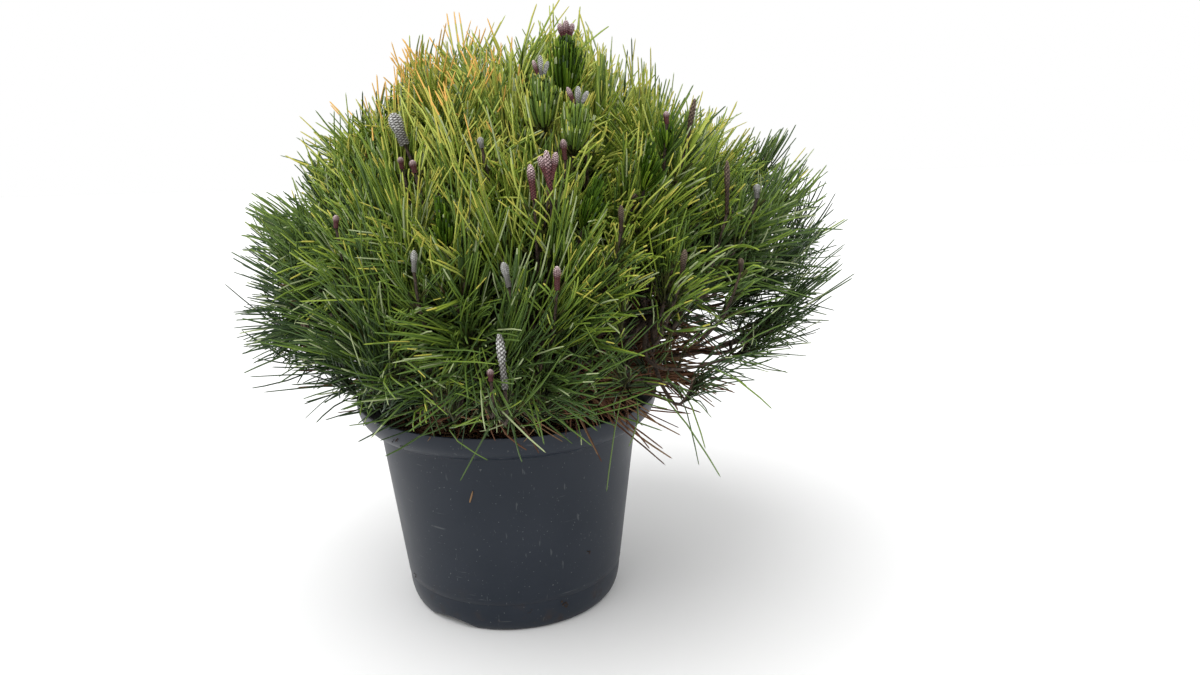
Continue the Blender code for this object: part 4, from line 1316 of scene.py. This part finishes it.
def tapers(first, last, count):
    """Radii that fall evenly from first to last along each of count twigs."""
    return np.repeat(np.linspace(first, last, TWIG_ROWS)[None], count, axis=0)


twig_finish = twig_bark()
twig_radii = tapers(0.0018, 0.0011, len(sprays["tip"]))
twigs = tube_piece("twigs", twig_axes(sprays), twig_radii, TWIG_SIDES, [twig_finish], 0.12)
place(twigs, "bark", *mass_names(1, MASS_COUNT))

stem_t = np.linspace(0.0, 1.0, TWIG_ROWS)[None, :, None]
stem_roots = np.array([root for root, _, _ in stems])[:, None]
stem_tips = np.array([end for _, end, _ in stems])[:, None]
stem_along = unit(stem_tips - stem_roots)
stem_bow = side_vectors(stem_along)[0] * -STEM_BOW * (1.0 - np.abs(2.0 * stem_t - 1.0))
stem_axes = blend(stem_roots, stem_tips, stem_t) + stem_bow
stem_radii = tapers(MASS_STEM_RADIUS, STEM_TIP_RADIUS, MASS_COUNT)
stem_piece = tube_piece("mass_stems", stem_axes, stem_radii, 10, [twig_finish], 0.07)
place(stem_piece, "bark", *mass_names(1, MASS_COUNT))

# %% [markdown]
# ## Buds and candles
#
# Most shoots end in a small bud under scales that overlap like roof tiles. Some buds are
# already growing out into candles, purple-red, grey or brown, with pale resin on the
# scales towards their tips. The scales are real relief: two sets of spirals cross, and
# between the crossings the surface swells into diamonds.

# %% Scaly tubes
def scales(u, turn, rows, left, right):
    """1 on the middle of each diamond between two sets of crossing spirals, 0 on its edges."""
    first = np.mod(u * rows + left * turn / math.tau, 1.0)
    second = np.mod(u * rows - right * turn / math.tau, 1.0)
    return 1.0 - 2.0 * np.maximum(np.abs(first - 0.5), np.abs(second - 0.5))


def scaly_piece(name, foot, tip, radius, rows, sides, scale_rows, finish):
    """Buds or candles as one mesh: a rounded taper, which the scales swell and pinch."""
    u = np.linspace(0.0, 1.0, rows + 1)[:-1]
    turn = np.arange(sides) / sides * math.tau
    count = len(foot)
    bow = chance.normal(0.0, 0.05, (count, 1, 3)) * (tip - foot)[:, None].std() * 0.2
    bow = bow * np.sin(math.pi * u)[None, :, None]
    axis = foot[:, None] + (tip - foot)[:, None] * u[None, :, None] + bow
    along = unit(np.repeat((tip - foot)[:, None], rows, axis=1))
    taper = (0.66 + 0.38 * smooth_step(0.35, 0.80, u)) * np.sqrt(1.0 - u**5.0)
    diamond = scales(u[:, None], turn[None, :], scale_rows, 5, 4)
    girth = radius[:, None, None] * (taper[:, None] * (0.76 + 0.42 * diamond))[None]
    rings = ring_corners(axis, girth, along)
    corners = np.concatenate([rings.reshape(count, -1, 3), foot[:, None], tip[:, None]], axis=1)
    loops, sizes, _ = skin_faces(rows, sides)
    loops, sizes = repeat_faces(loops, sizes, corners.shape[1], count)
    height = np.repeat(u[:, None], sides, axis=1)
    values = {
        "scale": np.tile(np.concatenate([diamond.ravel(), [0.0, 1.0]]), count),
        "height": np.tile(np.concatenate([height.ravel(), [0.0, 1.0]]), count)}
    return new_piece(name, corners.reshape(-1, 3), loops, sizes, [finish], values=values)


def bud_finish(name, dark, light, resin_colour, resin_from, least):
    """Bud scales: dark gaps, lighter middles, and pale resin on them, mostly above resin_from."""
    finish = Finish(name, light, 0.55)
    scale, height = finish.carried("scale"), finish.carried("height")
    cloud = finish.noise(300.0, 3.0).over(0.35, 0.65)
    colour = finish.mix(scale.over(0.20, 0.80), dark, light)
    resin = height.over(resin_from, resin_from + 0.35) * (1.0 - least) + least
    share = resin * scale.over(0.12, 0.60) * (0.50 + cloud * 0.50)
    colour = finish.mix(share, colour, resin_colour)
    finish.shader.inputs["Specular IOR Level"].default_value = 0.22
    return finish.paint(Base_Color=colour, Roughness=0.62 - cloud * 0.18)


purple_scales = bud_finish(
    "purple bud scales", (0.036, 0.008, 0.010), (0.200, 0.044, 0.048), (0.97, 0.79, 0.80), 0.54, 0.05)
grey_scales = bud_finish(
    "grey bud scales", (0.040, 0.034, 0.030), (0.180, 0.165, 0.150), (0.80, 0.80, 0.78), 0.30, 0.30)
brown_scales = bud_finish(
    "brown bud scales", (0.016, 0.009, 0.006), (0.070, 0.036, 0.024), (0.24, 0.18, 0.13), 0.45, 0.05)

# %% Candles
CANDLE_ROWS, CANDLE_SIDES, CANDLE_SCALES = 46, 24, 13
BUD_ROWS, BUD_SIDES, BUD_SCALES = 9, 9, 3
for colour, finish in ((PURPLE, purple_scales), (GREY, grey_scales), (BROWN, brown_scales)):
    mine = np.array([candle.colour == colour for candle in CANDLES])
    girths = np.array([candle.radius for candle in CANDLES])[mine]
    piece = scaly_piece(
        f"{colour}_candles", candle_feet[mine], candle_tips[mine], girths,
        CANDLE_ROWS, CANDLE_SIDES, CANDLE_SCALES, finish)
    place(piece, "bark")

# %% Buds on the shoots
budding = sprays["bud"] > 0
bud_feet = sprays["tip"][budding]
bud_along = unit(sprays["tip"] - sprays["middle"])[budding]
bud_length = chance.uniform(0.008, 0.015, (len(bud_feet), 1))
bud_radius = sprays["bud"][budding] * chance.uniform(0.8, 1.15, len(bud_feet))
buds = scaly_piece(
    "buds", bud_feet - bud_along * 0.002, bud_feet + bud_along * bud_length, bud_radius,
    BUD_ROWS, BUD_SIDES, BUD_SCALES, brown_scales)
place(buds, "bark")

# %% [markdown]
# ## Litter
#
# Withered needles lie on the peat, and one sticks to the outside of the pot. Peat crumbs
# cling under the collar and by the foot. They are set where the line of sight through
# their place in the photograph meets the pot's own outline.

# %% Needles on the peat
FALLEN = 1500
fallen_turn = chance.uniform(0.0, math.tau, FALLEN)
fallen_out = chance.uniform(0.15, 1.0, FALLEN) ** 0.4 * (WELL_RADIUS - 0.006)
fallen_base = np.stack([
    fallen_out * np.cos(fallen_turn), fallen_out * np.sin(fallen_turn),
    SOIL_TOP + np.minimum(chance.exponential(0.0050, FALLEN), 0.018)], axis=-1)
fallen_way = unit(chance.normal(0.0, 1.0, (FALLEN, 3)) * (1.0, 1.0, 0.14))
fallen = dict(
    base=fallen_base, heading=fallen_way, bend=chance.normal(0.0, 0.22, (FALLEN, 3)) * (1.0, 1.0, 0.1),
    size=chance.uniform(0.024, 0.060, FALLEN), girth=chance.uniform(0.0006, 0.0009, FALLEN))
fallen_ends = needle_at(fallen, 1.0)
lying = (np.hypot(fallen_ends[:, 0], fallen_ends[:, 1]) < WELL_RADIUS - 0.004)
lying &= (fallen_ends[:, 2] > SOIL_TOP - 0.001) & (fallen_out > FLARE_RADIUS)
fallen = chosen(fallen, lying)
fallen_colour = DEAD + chance.integers(0, len(DEAD_COLOURS), len(fallen["size"]))
place(needle_piece("fallen_needles", fallen, *[fallen_colour] * 4), "needles")

# %% Bits on the pot
outline = profile[5:np.argmax(profile[:, 1]) + 1]


def on_pot(px, py):
    """Where the line of sight through a pixel meets the pot's outside, and the way out there."""
    way = CAMERA_PLACE + sight_line(px, py) * np.linspace(0.6, 1.3, 6001)[:, None]
    wall = np.interp(way[:, 2], outline[:, 1], outline[:, 0])
    gap = np.hypot(way[:, 0], way[:, 1]) - wall
    spot = way[np.argmax(gap <= max(gap.min(), 0.0))]
    return spot, unit(spot * (1.0, 1.0, 0.0))


Bit = namedtuple("Bit", "px py size")
PATCHES = [Bit(562, 603, 0.0032), Bit(566, 605, 0.0024), Bit(396, 441, 0.0018), Bit(405, 446, 0.0015),
           Bit(590, 552, 0.0016), Bit(415, 575, 0.0014), Bit(530, 612, 0.0012)]
BITS_A_PATCH = 7
bit_spots, bit_sizes = [], []
for patch in PATCHES:
    for _ in range(BITS_A_PATCH):
        spot, away = on_pot(patch.px + chance.normal(0.0, 2.2), patch.py + chance.normal(0.0, 1.2))
        bit_spots.append(spot + away * 0.0002)
        bit_sizes.append(patch.size * chance.uniform(0.25, 0.75))
bit_spots, bit_sizes = np.array(bit_spots), np.array(bit_sizes)
bit_share = (np.arange(6) + 0.5) / 6
bit_way = unit(chance.normal(0.0, 1.0, bit_spots.shape)) * bit_sizes[:, None] * 0.6
bit_axes = bit_spots[:, None] + bit_way[:, None] * (2.0 * bit_share - 1.0)[None, :, None]
bit_radii = bit_sizes[:, None] * np.sin(math.pi * bit_share)[None] * 0.6
place(tube_piece("peat_bits", bit_axes, bit_radii, 7, [soil_piece.data.materials[0]], 0.25), "soil")

stuck_foot, away = on_pot(470, 502)
stuck_tip, _ = on_pot(473, 491)
stuck_axis = blend(stuck_foot, stuck_tip, np.linspace(0.0, 1.0, 6)[:, None]) + away * 0.0005
stuck_radii = np.array([[0.0006, 0.0008, 0.0008, 0.0008, 0.0007, 0.0004]])
stuck_finish = needle_finishes[DEAD + 2]
stuck_needle = tube_piece("stuck_needle", stuck_axis[None], stuck_radii, 6, [stuck_finish], 0.05)
place(stuck_needle, "needles")

# %% [markdown]
# ## Floor, light and the end
#
# The photograph is lit by an open, overcast sky in front of white. A pale floor, a bright
# plain world and a sun behind thin cloud, high on the left in front, give the same: dark
# depths between the needles, a soft sheen on them, and pale edges on the pot.

# %% Stage
FLOOR_SIZE = 8.0
floor_mesh = bpy.data.meshes.new("floor")
half = FLOOR_SIZE / 2
floor_corners = [(-half, -half, 0.0), (half, -half, 0.0), (half, half, 0.0), (-half, half, 0.0)]
floor_mesh.from_pydata(floor_corners, [], [(0, 1, 2, 3)])
floor_mesh.materials.append(Finish("pale floor", (0.86, 0.86, 0.86), 0.9).material)
floor = bpy.data.objects.new("floor", floor_mesh)
bpy.context.scene.collection.objects.link(floor)

world = bpy.data.worlds.new("soft sky")
bpy.context.scene.world = world
world.use_nodes = True
background = world.node_tree.nodes["Background"].inputs
background["Color"].default_value = (1.0, 1.0, 1.0, 1.0)
background["Strength"].default_value = 1.0


def soft_sun(name, towards, angle, power):
    """A sun behind thin cloud: parallel light with soft edges."""
    data = bpy.data.lights.new(name, "SUN")
    data.angle, data.energy = math.radians(angle), power
    lamp = bpy.data.objects.new(name, data)
    bpy.context.scene.collection.objects.link(lamp)
    back = unit(-np.array(towards))
    first, second = side_vectors(back)
    turn = Matrix([list(row) for row in np.stack([np.cross(first, back), first, back], axis=1)])
    lamp.matrix_world = turn.to_4x4()


soft_sun("cloudy_sun", (0.35, 0.35, -1.0), 50.0, 1.7)
bpy.context.scene.view_settings.view_transform = "Standard"
